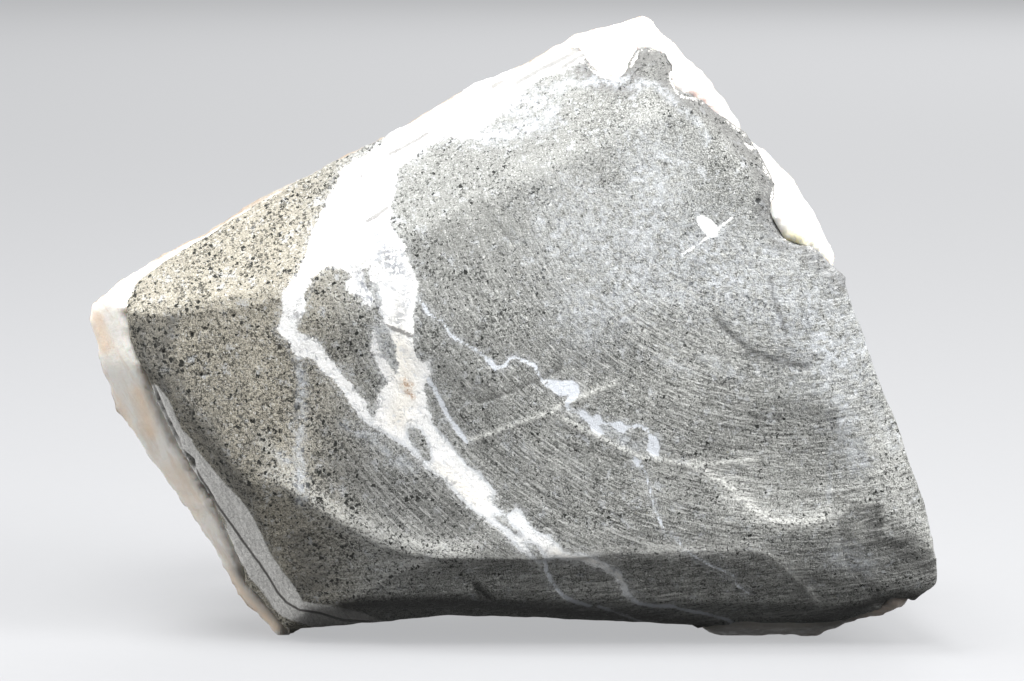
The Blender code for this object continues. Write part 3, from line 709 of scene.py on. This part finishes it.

# gas holes: one small pit in some of the cells, more of them on the left; their dark colour, and that of the
# big holes, is painted shade
shake = put(tree, "ShaderNodeTexNoise", {"Vector": where, "Scale": 2.2, "Detail": 2.0}).outputs["Color"]
dented = put(tree, "ShaderNodeVectorMath", {0: where, 1: shake}, operation="ADD").outputs[0]
crowding = rise(grains(where, 0.17, 3.0, 0.6), 0.36, 0.66, -0.10, 0.06)
pit_room = calc("ADD", rise(across, 520.0, 330.0, 0.0, 0.15), crowding)
away, pick = cells_of(dented, 1.30, 0)
pit_size = calc("MULTIPLY_ADD", calc("POWER", pick, 2.2), 0.38, calc("SUBTRACT", pit_room, 0.075))
pits = rise(calc("SUBTRACT", away, pit_size), 0.02, -0.03)
away, pick = cells_of(dented, 2.5, 1)
fine_size = calc("MULTIPLY_ADD", pick, 0.58, calc("SUBTRACT", pit_room, 0.10))
fine_pits = rise(calc("SUBTRACT", away, fine_size), 0.04, -0.06)
big_holes = rise(stored(tree, "holes"), 0.8, -0.6)
pits = calc("MAXIMUM", calc("MAXIMUM", pits, times(fine_pits, 0.75)), big_holes)


def ragged_edge(distance, coarse, fine, softness):
    """The ragged mask of a drawn distance in the stone, and the cloud outside it."""
    return use_group(ragged, Where=where, Distance=distance, Coarse=coarse, Fine=fine, Softness=softness)


# the thin bluish veins, and the seam with its layers
thin_mask, thin_cloud = ragged_edge(stored(tree, "thin"), 4.0, 5.0, 0.9)
thin_colour = tint(rise(down, 270.0, 240.0), (0.67, 0.70, 0.745), (0.94, 0.94, 0.93))
seam_mask, _ = ragged_edge(stored(tree, "seam"), 3.0, 3.0, 1.0)
seam_run = weighed((down, 0.042), (across, 0.026))
seam_cross = weighed((down, -0.22), (across, 0.36))
layers = grains(place_of(seam_run, seam_cross), 1.0, 3.0, 0.6)
seam_colour = coats(
    tint(rise(layers, 0.30, 0.68), (0.70, 0.69, 0.67), (0.94, 0.93, 0.90)),
    (rise(pepper, 0.55, 0.10, 0.0, 0.50), (0.34, 0.335, 0.32)),
    (times(rise(stored(tree, "parting"), 1.7, 0.6), 0.90), (0.045, 0.04, 0.036)))

# the broad white vein: creamy and milky places, a grey network, margin and wisps, clouds, dashes and stains,
# and painted shade in its small holes
vein, cream, clouded, stains = stored(tree, "vein", "cream", "clouded", "stains")
vein_mask, vein_cloud = ragged_edge(vein, 9.0, 7.0, 1.2)
dash_mask, _ = ragged_edge(stored(tree, "dashes"), 2.0, 4.0, 0.6)
network = calc("ABSOLUTE", calc("SUBTRACT", grains(where, 0.42, 3.0, 0.6, 0.6), 0.5))
network_share = times(rise(network, 0.016, 0.004), rise(drift, 0.35, 0.75), 0.6)
margin = times(rise(vein, -6.0, -0.5, 0.0, 0.60), rise(down, 395.0, 440.0))
wisps = rise(grains(where, 0.75, 5.0, 0.72, 0.8), 0.54, 0.62)
curds = rise(grains(where, 1.35, 5.0, 0.75, 0.6), 0.40, 0.56)
vein_colour = coats(
    tint(cream, (0.95, 0.95, 0.94), (0.96, 0.93, 0.86)),
    (rise(patches, 0.30, 0.0, 0.0, 0.45), (0.62, 0.65, 0.69)),
    (network_share, (0.36, 0.37, 0.38)),
    (margin, (0.50, 0.53, 0.565)),
    (times(wisps, rise(vein, -13.0, -2.0, 0.0, 0.75)), (0.36, 0.37, 0.385)),
    (times(clouded, curds), (0.23, 0.245, 0.275)),
    (times(dash_mask, 0.85), (0.20, 0.195, 0.185)),
    (times(stains, powder_grain), (0.42, 0.25, 0.13)),
    # painted shade in the vein's small holes
    (times(fine_pits, rise(drift, 0.45, 0.8, 0.0, 0.5)), (0.30, 0.29, 0.27)))

# all of it over the grey, with ragged spots of crust, then painted shade along the foot, in the grooves and
# in the open crack last
haze_grain = rise(grains(where, 1.1, 4.0, 0.7), 0.34, 0.62)
rim_mask, _ = ragged_edge(calc("SUBTRACT", skin, 0.5), 8.0, 7.0, 0.8)
stone_colour = coats(
    grey,
    (fuzz, (0.56, 0.58, 0.605)),
    (sparks, (0.68, 0.68, 0.66)),
    (rust, (0.36, 0.33, 0.20)),
    # darker places, mostly painted shade
    (times(dull, 0.8), (0.10, 0.10, 0.095)),
    (rise(skin, 24.0, 5.0, 0.0, 0.70), (0.135, 0.133, 0.129)),
    # painted shade just inside the shaded faces' edges, and a painted highlight just outside
    (inner_edge, (0.05, 0.05, 0.048)),
    (outer_edge, (0.60, 0.60, 0.575)),
    (times(rise(strokes, 0.46, 0.32), stroke_share, 0.50), (0.09, 0.09, 0.088)),
    (times(rise(strokes, 0.54, 0.68), stroke_share, 0.42), (0.60, 0.60, 0.58)),
    (times(rise(scratches, 0.45, 0.30, 0.0, 0.75), scratch_share), (0.045, 0.045, 0.042)),
    (times(rise(scratches, 0.55, 0.70, 0.0, 0.60), scratch_share), (0.66, 0.66, 0.64)),
    # white powder, partly painted highlight on rims that face the light
    (powder, (0.84, 0.84, 0.80)),
    # painted shade in the gas holes
    (times(pits, 0.96), (0.012, 0.013, 0.011)),
    # milky clouds, and painted light over the upper right
    (times(stored(tree, "haze"), haze_grain), (0.62, 0.65, 0.69)),
    (times(thin_cloud, 0.30), (0.70, 0.72, 0.75)),
    (times(thin_mask, 0.96), thin_colour),
    (seam_mask, seam_colour),
    (times(vein_cloud, 0.55), (0.78, 0.79, 0.80)),
    (vein_mask, vein_colour),
    (times(rim_mask, front_share), (0.90, 0.88, 0.84)),
    # painted shade along the foot and in the grooves, near black
    (times(stored(tree, "soot"), rise(patches, 0.0, 0.5, 0.75, 1.0)), (0.016, 0.016, 0.014)),
    # painted shade in the open crack
    (times(rise(stored(tree, "crack"), 4.2, 1.6, 0.0, 0.9), front_share), (0.03, 0.028, 0.025)))

white_share = calc("MAXIMUM", vein_mask, thin_mask)
height = weighed((patches, 0.10), (pepper, 0.05), (pits, -0.30), (times(strokes, stroke_share), 0.14))
height = times(height, rise(white_share, 0.0, 1.0, 1.0, 0.45))
feed_all(inputs, {
    "Base Color": stone_colour, "Specular IOR Level": 0.35, "Normal": raised(height, 0.75),
    "Roughness": tint(white_share, (0.86, 0.86, 0.86), (0.62, 0.62, 0.62))})
basalt.data.materials.append(stone)
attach(basalt, "root")
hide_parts("basalt_matrix")

# ----------------------------------------
# Stilbite crust: a pearly ivory to peach layer, grown over the far side and round the edges of the basalt,
# ground flush with it on the front. It is fibrous where it was cut; at the foot it is painted grey-tan and
# dark with shade.
# ----------------------------------------
CRUST_VOXEL = 0.78 * MM
CRUST_SOFTENING = 3
GROUND_SOFTENING = 8
GROUND_TO_Y = -9.0 * MM
CLOSING, CLOSING_WITHIN = 1.15, (1.3 * MM, -0.6 * MM)
FREE_FROM = (0.5 * MM, 0.8 * MM)
# Layers of roughness, as for the stone; fibres and breaks are drawn out along the depth
CRUST_ROUGHNESS = [(0.08, 0.0045, 3, 0.0), (0.04, 0.0013, 2, 3.0)]
FIBRE_ROUGHNESS, FIBRE_STRETCH = [(0.22, 0.0014, 3, 4.0)], (1.0, 0.16, 1.0)
BREAK_ROUGHNESS, BREAK_STRETCH = [(0.55, 0.006, 3, 7.0)], (1.0, 0.6, 1.0)
SIDE_GROWTH = 0.10  # in millimetres
# How far back the closing, the foot's painted shade, the painted shade in the gaps and the ground finish
# reach: where each starts in y, and its rise
CLOSED_BACK = (-10.0 * MM, -6.0 * MM)
DUST_BACK = (-0.5 * MM, -6.0 * MM)
SOOT_BACK = (-8.0 * MM, -7.0 * MM)
FRONT_BACK = (-3.0 * MM, -6.0 * MM)
# Tones of the ground rim, in the form of the milky clouds
PEACH = [
    (7.0, 0.8, [(97, 318), (105, 348)]), (7.0, 0.8, [(138, 392), (151, 432)]),
    (6.0, 0.9, [(228, 574), (240, 592), (258, 613), (275, 628)]), (5.0, 0.5, [(118, 400), (134, 436)]),
    (10.0, 0.4, [(170, 470), (196, 512)]), (8.0, 0.45, [(720, 645), (800, 640), (850, 630)]),
    (10.0, 0.8, [(852, 628), (880, 612), (905, 606)]),
]
PINK = [
    (12.0, 0.9, [(688, 74), (703, 92), (718, 108)]), (14.0, 0.5, [(884, 606), (906, 602)]),
    (5.0, 1.0, [(850, 621), (854, 623)]),
]
YELLOW = [(9.0, 0.7, [(785, 240), (804, 238)]), (6.0, 0.5, [(810, 246), (828, 262)])]
# Painted shade in the dark gaps under the rock's edge and under the crust's lip
CRUST_SOOT = [
    (6.0, 0.95, [(236, 570), (252, 594), (272, 616), (288, 626)]),
    (4.0, 0.85, [(712, 632), (790, 634), (850, 622), (880, 605), (905, 600)]),
]
# Painted shade that greys the crust's foot under the rock
DUSTY = [(34.0, 1.0, [(700, 645), (760, 640), (840, 636), (900, 606), (942, 590)])]

crust = copy_of("stilbite_crust", "stilbite_crust_body")
finish_with(crust, "REMESH", mode="VOXEL", voxel_size=CRUST_VOXEL)
soften(crust, CRUST_SOFTENING)
weigh(crust, "ground_side", ramp(corners(crust)[:, 1], GROUND_TO_Y, -3.0 * MM))
soften(crust, GROUND_SOFTENING, vertex_group="ground_side")
places = corners(crust)
outward = corners(crust, "vector")
spots = picture_spots(places)
front = ramp(outward @ FRONT_WAY, FRONT_FROM, FRONT_RISE)

# the crust closes up to the stone along the ground front, and is broken and fibrous where it stands free
stone_places, to_stone = nearest_on(surface_of("basalt_matrix"), places)
closing = CLOSING * ramp(to_stone, *CLOSING_WITHIN) * ramp(places[:, 1], *CLOSED_BACK)
free = ramp(to_stone, *FREE_FROM)
fibrous = roughness(places * np.array(FIBRE_STRETCH), FIBRE_ROUGHNESS)
broken = roughness(places * np.array(BREAK_STRETCH), BREAK_ROUGHNESS)
relief = roughness(places, CRUST_ROUGHNESS) + (1.0 - front) * (fibrous + broken + SIDE_GROWTH)
moved = places + outward * (relief * free * MM)[:, None] + (stone_places - places) * closing[:, None]
moved[:, 2] = np.maximum(moved[:, 2], 0.0)
move_corners(crust, moved)
keep_values(
    crust, across=spots[:, 0], down=spots[:, 1], front=front * ramp(places[:, 1], *FRONT_BACK),
    peach=soft_mask(spots, PEACH) * np.maximum(front, 0.5),
    pink=soft_mask(spots, PINK) * np.maximum(front, 0.4), yellow=soft_mask(spots, YELLOW) * front,
    dusty=soft_mask(spots, DUSTY) * ramp(places[:, 1], *DUST_BACK),
    soot=soft_mask(spots, CRUST_SOOT) * ramp(places[:, 1], *SOOT_BACK))
crust.data.shade_smooth()

# Pearly fibres: streaks that run out from the rock, used by the crust and by its blades
fibres, given, gives = new_group("pearly_fibres", ("Where", "Stretch"), ("Streaks", "Sparkle"))
long_way = put(fibres, "ShaderNodeVectorMath", {0: given["Where"], 1: given["Stretch"]}, operation="MULTIPLY")
feed(gives["Streaks"], grains(long_way.outputs[0], 1.0, 4.0, 0.6))
feed(gives["Sparkle"], rise(cells_of(given["Where"], 1.9, 2)[1], 0.55, 1.0))

ivory, tree, inputs, where = new_material("stilbite_ivory")
pepper, patches, _ = use_group(grain, Where=where)
streaks, sparkle = use_group(fibres, Where=where, Stretch=(2.4, 0.35, 1.4))
across, down, lit_front = stored(tree, "across", "down", "front")
blush = rise(grains(where, 0.11, 3.0, 0.6, 0.3), 0.40, 0.68)
white_top = times(rise(across, 620.0, 700.0), rise(down, 330.0, 240.0), rise(lit_front, 0.0, 0.5, 0.10, 1.0))
rim_run = weighed((down, 0.014), (across, 0.008))
rim_cross = weighed((down, -0.060), (across, 0.105))
rim_streaks = rise(grains(place_of(rim_run, rim_cross), 1.0, 4.0, 0.65, 0.4), 0.44, 0.66)
patchy = rise(patches, 0.15, 0.75, 0.35, 1.0)
crust_colour = coats(
    tint(blush, (0.40, 0.365, 0.31), (0.385, 0.275, 0.195)),
    (rise(patches, 0.35, 1.0, 0.0, 0.45), (0.48, 0.45, 0.40)),
    (rise(lit_front, 0.0, 0.6, 0.0, 0.95), (0.93, 0.905, 0.85)),
    (white_top, (0.66, 0.645, 0.615)),
    (times(rim_streaks, rise(across, 420.0, 260.0, 0.0, 0.52), lit_front), (0.70, 0.575, 0.46)),
    (times(stored(tree, "peach"), 0.75), (0.86, 0.64, 0.44)),
    (times(stored(tree, "pink"), patchy), (0.54, 0.38, 0.345)),
    (times(stored(tree, "yellow"), patchy), (0.86, 0.78, 0.42)),
    # painted shade greying the foot
    (times(stored(tree, "dusty"), 0.30), (0.40, 0.35, 0.28)),
    # painted shade in the dark gaps
    (stored(tree, "soot"), (0.045, 0.042, 0.037)),
    (times(rise(streaks, 0.50, 0.30), rise(lit_front, 0.0, 0.8, 0.65, 0.07)), (0.28, 0.225, 0.165)),
    (rise(grains(where, 2.2, 3.0, 0.7), 0.70, 0.80, 0.0, 0.4), (0.34, 0.30, 0.25)))
height = weighed((patches, 0.12), (streaks, 0.25), (pepper, 0.03))
height = times(height, rise(lit_front, 0.0, 0.8, 1.0, 0.30))
feed_all(inputs, {
    "Base Color": crust_colour, "Roughness": rise(sparkle, 0.0, 1.0, 0.58, 0.30),
    "Normal": raised(height, 0.7),
    "Subsurface Weight": 0.30, "Subsurface Radius": (1.0, 0.65, 0.42), "Subsurface Scale": 1.2 * MM})
crust.data.materials.append(ivory)
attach(crust, "root")
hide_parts("stilbite_crust")

# ----------------------------------------
# Stilbite blades: each sheaf on the far side is a fan of thin, pearly tablets with blunt pointed ends, grown
# from one root in the crust, on the same seeded grid as the solid crust's sheaves, with small fans between
# them. Sizes here are in millimetres and angles in degrees.
# ----------------------------------------
SHEAF_SEED = 11
SHEAF_PITCH = 8.2
ROW_PITCH = SHEAF_PITCH * 0.87
GRID_LOW, GRID_HIGH = (-60.0, 6.0), (62.0, 86.0)  # across and up
SHEAF_LENGTH = (3.4, 6.8)
SHEAF_WIDTH = (6.4, 9.6)
SHEAF_THICKNESS = (2.8, 4.4)
SHEAF_JITTER = 0.25  # of the pitch
SHEAF_LEAN = 24.0
LEAN_UP, LEAN_OUT = 10.0, 16.0  # extra lean at HALF_HIGH and at HALF_WIDE from the middle
MIDDLE_UP, HALF_HIGH, HALF_WIDE = 42.0, 40.0, 50.0
FOOT, FOOT_LEAN = 22.0, -4.0  # sheaves below the foot lean down by no more than this
LOWEST_SHEAF = 9.0
GRID_SHIFT = (-0.2500, -28.9982)
BASE_Y = 43.0
SHEAF_ROOT = 3.0
NEAR_CREST = 0.9
LUMPS = [  # centre (x, z), radius and height of the swells that the sheaves stand on
    (-30.0, 42.0, 14.0, 4.0), (-6.0, 58.0, 15.0, 3.5), (14.0, 36.0, 17.0, 4.5), (34.0, 24.0, 13.0, 3.5),
    (-12.0, 22.0, 14.0, 4.0), (20.0, 70.0, 11.0, 3.0),
]
BLADE_SHOULDER, TIP_DROP = 0.80, 0.10  # as shares of the blade's length
TIP_SIZE, ROOT_SIZE = (0.62, 0.55), (0.55, 0.7)  # across and through, as shares of the middle
BLADE_EDGE = 0.03
BLADE_SEED = 5
BLADE_FAN = 27.0
BLADES_ACROSS = 7
BLADE_LAYERS = 3
BLADE_LEAD = 1.2
FAN_WIDER, FAN_THICKER = 1.12, 1.45
SMALL_SEED = 23
SMALL_SHEAVES = 330
SMALL_LENGTH = (2.4, 4.4)
SMALL_WIDTH = (3.0, 5.2)
SMALL_THICKNESS = 1.8
SMALL_LAYERS, SMALL_ACROSS = 2, 3
SMALL_ACROSS_X, SMALL_UP_Z = (-58.0, 58.0), (4.0, 88.0)
SMALL_LEAN = 26.0
SMALL_ROOT = 0.9
STEEPEST = 0.75
FROM_CRYSTALS = 2.6
FROM_SHEAVES = 2.2

bpy.ops.object.select_all(action="DESELECT")
bpy.ops.mesh.primitive_cube_add(size=1.0, location=(0.0, 0.0, 0.5))
blade = bpy.context.active_object
blade.name = "blade_pattern"
bpy.ops.object.transform_apply(location=True, rotation=True, scale=True)
bpy.ops.object.mode_set(mode="EDIT")
for cut_height, cut_way in ((BLADE_SHOULDER, (0.0, 0.0, 1.0)), (0.5, (1.0, 0.0, 0.0))):
    bpy.ops.mesh.select_all(action="SELECT")
    bpy.ops.mesh.bisect(plane_co=(0.0, 0.0, cut_height), plane_no=cut_way)
bpy.ops.object.mode_set(mode="OBJECT")
for vert in blade.data.vertices:
    end_size = TIP_SIZE if vert.co.z > 0.9 else ROOT_SIZE if vert.co.z < 0.1 else (1.0, 1.0)
    if vert.co.z > 0.9:
        vert.co.z = 1.0 - TIP_DROP * abs(vert.co.x) * 2.0
    vert.co.x *= end_size[0]
    vert.co.y *= end_size[1]
finish_with(blade, "BEVEL", width=BLADE_EDGE, segments=1, limit_method="ANGLE",
            angle_limit=math.radians(35.0))
blade_corners = corners(blade)
blade_faces = [list(polygon.vertices) for polygon in blade.data.polygons]
bpy.data.objects.remove(blade, do_unlink=True)


def between(limits, share):
    """The value at a share of the way between two limits."""
    return limits[0] + (limits[1] - limits[0]) * share


def leant(tilt, swing, spin):
    """A turn that points a sheaf to the far side, spins it about its length and leans it two ways."""
    tilt, swing, spin, away = (
        Matrix.Rotation(math.radians(turn), 4, axis)
        for turn, axis in ((tilt, "X"), (swing, "Z"), (spin, "Y"), (-90.0, "X")))
    return tilt @ swing @ spin @ away


def fan_of_blades(rng, length, width, thick, place, layers=BLADE_LAYERS, across=BLADES_ACROSS):
    """The blades of one sheaf: the points of each, a number for its tint, and the height along it."""
    fan = []
    for layer in range(layers):
        for step in range(across):
            turn = (step / (across - 1.0) - 0.5) * 2.0 + rng.uniform(-0.12, 0.12)
            reach = length * (1.0 - 0.16 * turn * turn) * rng.uniform(0.90, 1.04)
            broad = width * rng.uniform(0.20, 0.30)
            thin_way = thick / layers * rng.uniform(0.55, 0.95)
            off = ((layer + 0.5) / layers - 0.5) * thick + rng.uniform(-0.15, 0.15)
            root = Matrix.Translation((turn * width * 0.16, off, 0.0))
            lean = Matrix.Rotation(turn * math.radians(BLADE_FAN), 4, "Y")
            lean = lean @ Matrix.Rotation(rng.uniform(-0.10, 0.10), 4, "X")
            whole = np.array(place @ root @ lean @ Matrix.Diagonal((broad, thin_way, reach, 1.0)))
            points = blade_corners @ whole[:3, :3].T + whole[:3, 3]
            fan.append((points, rng.random(), blade_corners[:, 2]))
    return fan


rng = random.Random(SHEAF_SEED)
blade_rng = random.Random(BLADE_SEED)
blades = []
grown_at = []
row = 0
z = GRID_LOW[1]
while z < GRID_HIGH[1]:
    x = GRID_LOW[0] + (row % 2) * SHEAF_PITCH / 2.0
    while x < GRID_HIGH[0]:
        at_x = x + rng.uniform(-SHEAF_JITTER, SHEAF_JITTER) * SHEAF_PITCH
        at_z = z + rng.uniform(-SHEAF_JITTER, SHEAF_JITTER) * SHEAF_PITCH
        size = rng.random()
        spin = rng.uniform(0.0, 180.0)
        tilt = rng.uniform(-SHEAF_LEAN, SHEAF_LEAN) + LEAN_UP * (at_z - MIDDLE_UP) / HALF_HIGH
        swing = rng.uniform(-SHEAF_LEAN, SHEAF_LEAN) - LEAN_OUT * at_x / HALF_WIDE
        x += SHEAF_PITCH
        if at_z < FOOT:
            tilt = max(tilt, FOOT_LEAN)
        length = between(SHEAF_LENGTH, size) + SHEAF_ROOT
        swell = max(height * (1.0 - math.dist((at_x, at_z), (mid_x, mid_z)) ** 2 / radius ** 2)
                    for mid_x, mid_z, radius, height in LUMPS)
        root_y = BASE_Y + max(swell, 0.0) - SHEAF_ROOT + GRID_SHIFT[1]
        place = Matrix.Translation((at_x + GRID_SHIFT[0], root_y, at_z)) @ leant(tilt, swing, spin)
        crest = place @ Vector((0.0, 0.0, length))
        if crust_surface.find_nearest(crest * MM, NEAR_CREST * MM)[0] is None or at_z < LOWEST_SHEAF:
            continue
        blades += fan_of_blades(blade_rng, length + BLADE_LEAD, between(SHEAF_WIDTH, size) * FAN_WIDER,
                                between(SHEAF_THICKNESS, size) * FAN_THICKER, place)
        grown_at.append((at_x + GRID_SHIFT[0], at_z))
    z += ROW_PITCH
    row += 1

# small fans, wherever a look from the far side meets open crust
crystal_surfaces = [surface_of(name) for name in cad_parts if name.startswith("apophyllite")]
small_blades = []
small_rng = random.Random(SMALL_SEED)
for attempt in range(SMALL_SHEAVES * 3):
    at = Vector((small_rng.uniform(*SMALL_ACROSS_X), 60.0, small_rng.uniform(*SMALL_UP_Z)))
    size = small_rng.random()
    turns = [small_rng.uniform(low, high) for low, high in
             ((-SMALL_LEAN, SMALL_LEAN), (-SMALL_LEAN, SMALL_LEAN), (0.0, 180.0))]
    root, slope, _, _ = crust_surface.ray_cast(at * MM, Vector((0.0, -1.0, 0.0)))
    if root is None or slope.y < STEEPEST or len(small_blades) >= SMALL_SHEAVES * SMALL_LAYERS * SMALL_ACROSS:
        continue
    if any(surface.find_nearest(root, FROM_CRYSTALS * MM)[0] is not None for surface in crystal_surfaces):
        continue
    if min(math.dist((at.x, at.z), near) for near in grown_at) < FROM_SHEAVES:
        continue
    place = Matrix.Translation(root / MM - Vector((0.0, SMALL_ROOT, 0.0))) @ leant(*turns)
    small_blades += fan_of_blades(small_rng, between(SMALL_LENGTH, size), between(SMALL_WIDTH, size),
                                  SMALL_THICKNESS, place, SMALL_LAYERS, SMALL_ACROSS)

pearly, tree, inputs, where = new_material("stilbite_pearly")
streaks, sparkle = use_group(fibres, Where=where, Stretch=(3.0, 0.6, 3.0))
blade_tint, blade_height = stored(tree, "blade_tint", "blade_height")
blade_colour = coats(
    tint(rise(blade_tint, 0.0, 1.0), (0.86, 0.78, 0.67), (0.82, 0.64, 0.49)),
    (rise(blade_height, 0.65, 1.0, 0.0, 0.7), (0.94, 0.90, 0.83)),
    (rise(grains(where, 0.11, 3.0, 0.6, 0.3), 0.42, 0.70, 0.0, 0.6), (0.82, 0.60, 0.43)),
    (rise(streaks, 0.48, 0.28, 0.0, 0.25), (0.66, 0.54, 0.42)))
feed_all(inputs, {
    "Base Color": blade_colour, "Roughness": rise(sparkle, 0.0, 1.0, 0.42, 0.20), "Coat Weight": 0.25,
    "Normal": raised(streaks, 0.4, 0.5 * MM), "Coat Roughness": 0.22,
    "Subsurface Weight": 0.18, "Subsurface Radius": (1.0, 0.65, 0.42), "Subsurface Scale": 1.2 * MM})

count = len(blade_corners)
for name, grown in (("stilbite_blades", blades), ("stilbite_small_blades", small_blades)):
    fan_mesh = bpy.data.meshes.new(name)
    fan_mesh.from_pydata(
        np.concatenate([points for points, _, _ in grown]) * MM, [],
        [[corner + turn * count for corner in face] for turn in range(len(grown)) for face in blade_faces])
    fans = bpy.data.objects.new(name, fan_mesh)
    bpy.context.scene.collection.objects.link(fans)
    keep_values(fans, blade_tint=np.repeat([value for _, value, _ in grown], count),
                blade_height=np.concatenate([height for _, _, height in grown]))
    fans.data.materials.append(pearly)
    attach(fans, "root")

# ----------------------------------------
# Apophyllite: clear, glassy square prisms with cut corners, in groups seated between the sheaves. All their
# faces carry the same fine, drawn-out grooves.
# ----------------------------------------
CRYSTAL_EDGE = 0.12 * MM
clear, tree, inputs, where = new_material("apophyllite_clear")
patches = use_group(grain, Where=where)["Patches"]
growth = use_group(fibres, Where=where, Stretch=(1.6, 1.6, 0.5))["Streaks"]
veil = rise(grains(where, 0.20, 3.0, 0.6, 0.5), 0.40, 0.75)
feed_all(inputs, {
    "Base Color": tint(veil, (0.97, 0.985, 0.975), (0.90, 0.94, 0.92)),
    "Roughness": rise(patches, 0.2, 1.0, 0.02, 0.10), "Normal": raised(growth, 0.18, 0.3 * MM),
    "Transmission Weight": 1.0, "IOR": 1.535})
depth_tint = put(tree, "ShaderNodeVolumeAbsorption", {"Color": (0.86, 0.94, 0.90), "Density": 10.0})
feed(tree.nodes["Material Output"].inputs["Volume"], depth_tint.outputs[0])

for node_name in ("apophyllite_large", "apophyllite_right", "apophyllite_upper", "apophyllite_left",
                  "apophyllite_lower"):
    crystal = copy_of(node_name, node_name + "_crystals")
    finish_with(crystal, "BEVEL", width=CRYSTAL_EDGE, segments=1, limit_method="ANGLE",
                angle_limit=math.radians(20.0))
    crystal.data.materials.append(clear)
    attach(crystal, "root")
    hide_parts(node_name)

# ----------------------------------------
# The studio: a plain pale floor, soft lights high over the front and low at both sides, and one behind.
# ----------------------------------------
FLOOR_SIZE = 8.0
LIGHTS_AIM = Vector((0.0, 0.0, 0.045))
LIGHTS = [  # name, place, side and power of each square light
    ("high_left_light", (-0.237, -0.137, 0.797), 0.30, 7.2),
    ("high_front_light", (0.0, -0.459, 0.700), 0.30, 5.9),
    ("high_right_light", (0.394, -0.331, 0.658), 0.30, 2.3),
    ("right_side_light", (0.628, -0.363, 0.383), 0.30, 7.4),
    ("left_side_light", (-0.785, -0.069, 0.184), 0.30, 5.1),
    ("far_side_fill", (0.45, 1.60, 1.00), 1.20, 27.0),
]

bpy.ops.object.select_all(action="DESELECT")
bpy.ops.mesh.primitive_plane_add(size=FLOOR_SIZE, location=(0.0, 0.0, 0.0))
floor = bpy.context.active_object
floor.name = "studio_floor"
paper, tree, inputs, where = new_material("studio_paper")
feed_all(inputs, {
    "Base Color": tint(grains(where, 0.4, 2.0), (0.135, 0.136, 0.14), (0.145, 0.146, 0.15)),
    "Emission Color": (0.97, 0.98, 1.0), "Emission Strength": 0.46,
    "Roughness": 0.9, "Specular IOR Level": 0.1})
dark = put(tree, "ShaderNodeBsdfDiffuse", {"Color": (0.03, 0.03, 0.03)})
path = put(tree, "ShaderNodeLightPath")
lit = tree.nodes["Principled BSDF"].outputs[0]
mixed = put(tree, "ShaderNodeMixShader", {0: path.outputs["Is Diffuse Ray"], 1: lit, 2: dark.outputs[0]})
feed(tree.nodes["Material Output"].inputs["Surface"], mixed.outputs[0])
floor.data.materials.append(paper)

for name, place, side, power in LIGHTS:
    light = bpy.data.objects.new(name, bpy.data.lights.new(name, "AREA"))
    bpy.context.scene.collection.objects.link(light)
    light.data.size = side
    light.data.energy = power
    light.location = place
    light.rotation_euler = (LIGHTS_AIM - Vector(place)).to_track_quat("-Z", "Y").to_euler()

world = bpy.data.worlds.new("studio_air")
bpy.context.scene.world = world
world.use_nodes = True
air = world.node_tree
path = put(air, "ShaderNodeLightPath")
seen_air = put(air, "ShaderNodeBackground", {"Color": (0.46, 0.465, 0.475), "Strength": 1.0})
lit_air = air.nodes["Background"]
feed_all(lit_air.inputs, {"Color": (0.75, 0.78, 0.82), "Strength": 0.04})
mixed = put(air, "ShaderNodeMixShader", {
    0: path.outputs["Is Camera Ray"], 1: lit_air.outputs[0], 2: seen_air.outputs[0]})
feed(air.nodes["World Output"].inputs["Surface"], mixed.outputs[0])
bpy.context.scene.view_settings.view_transform = "Standard"
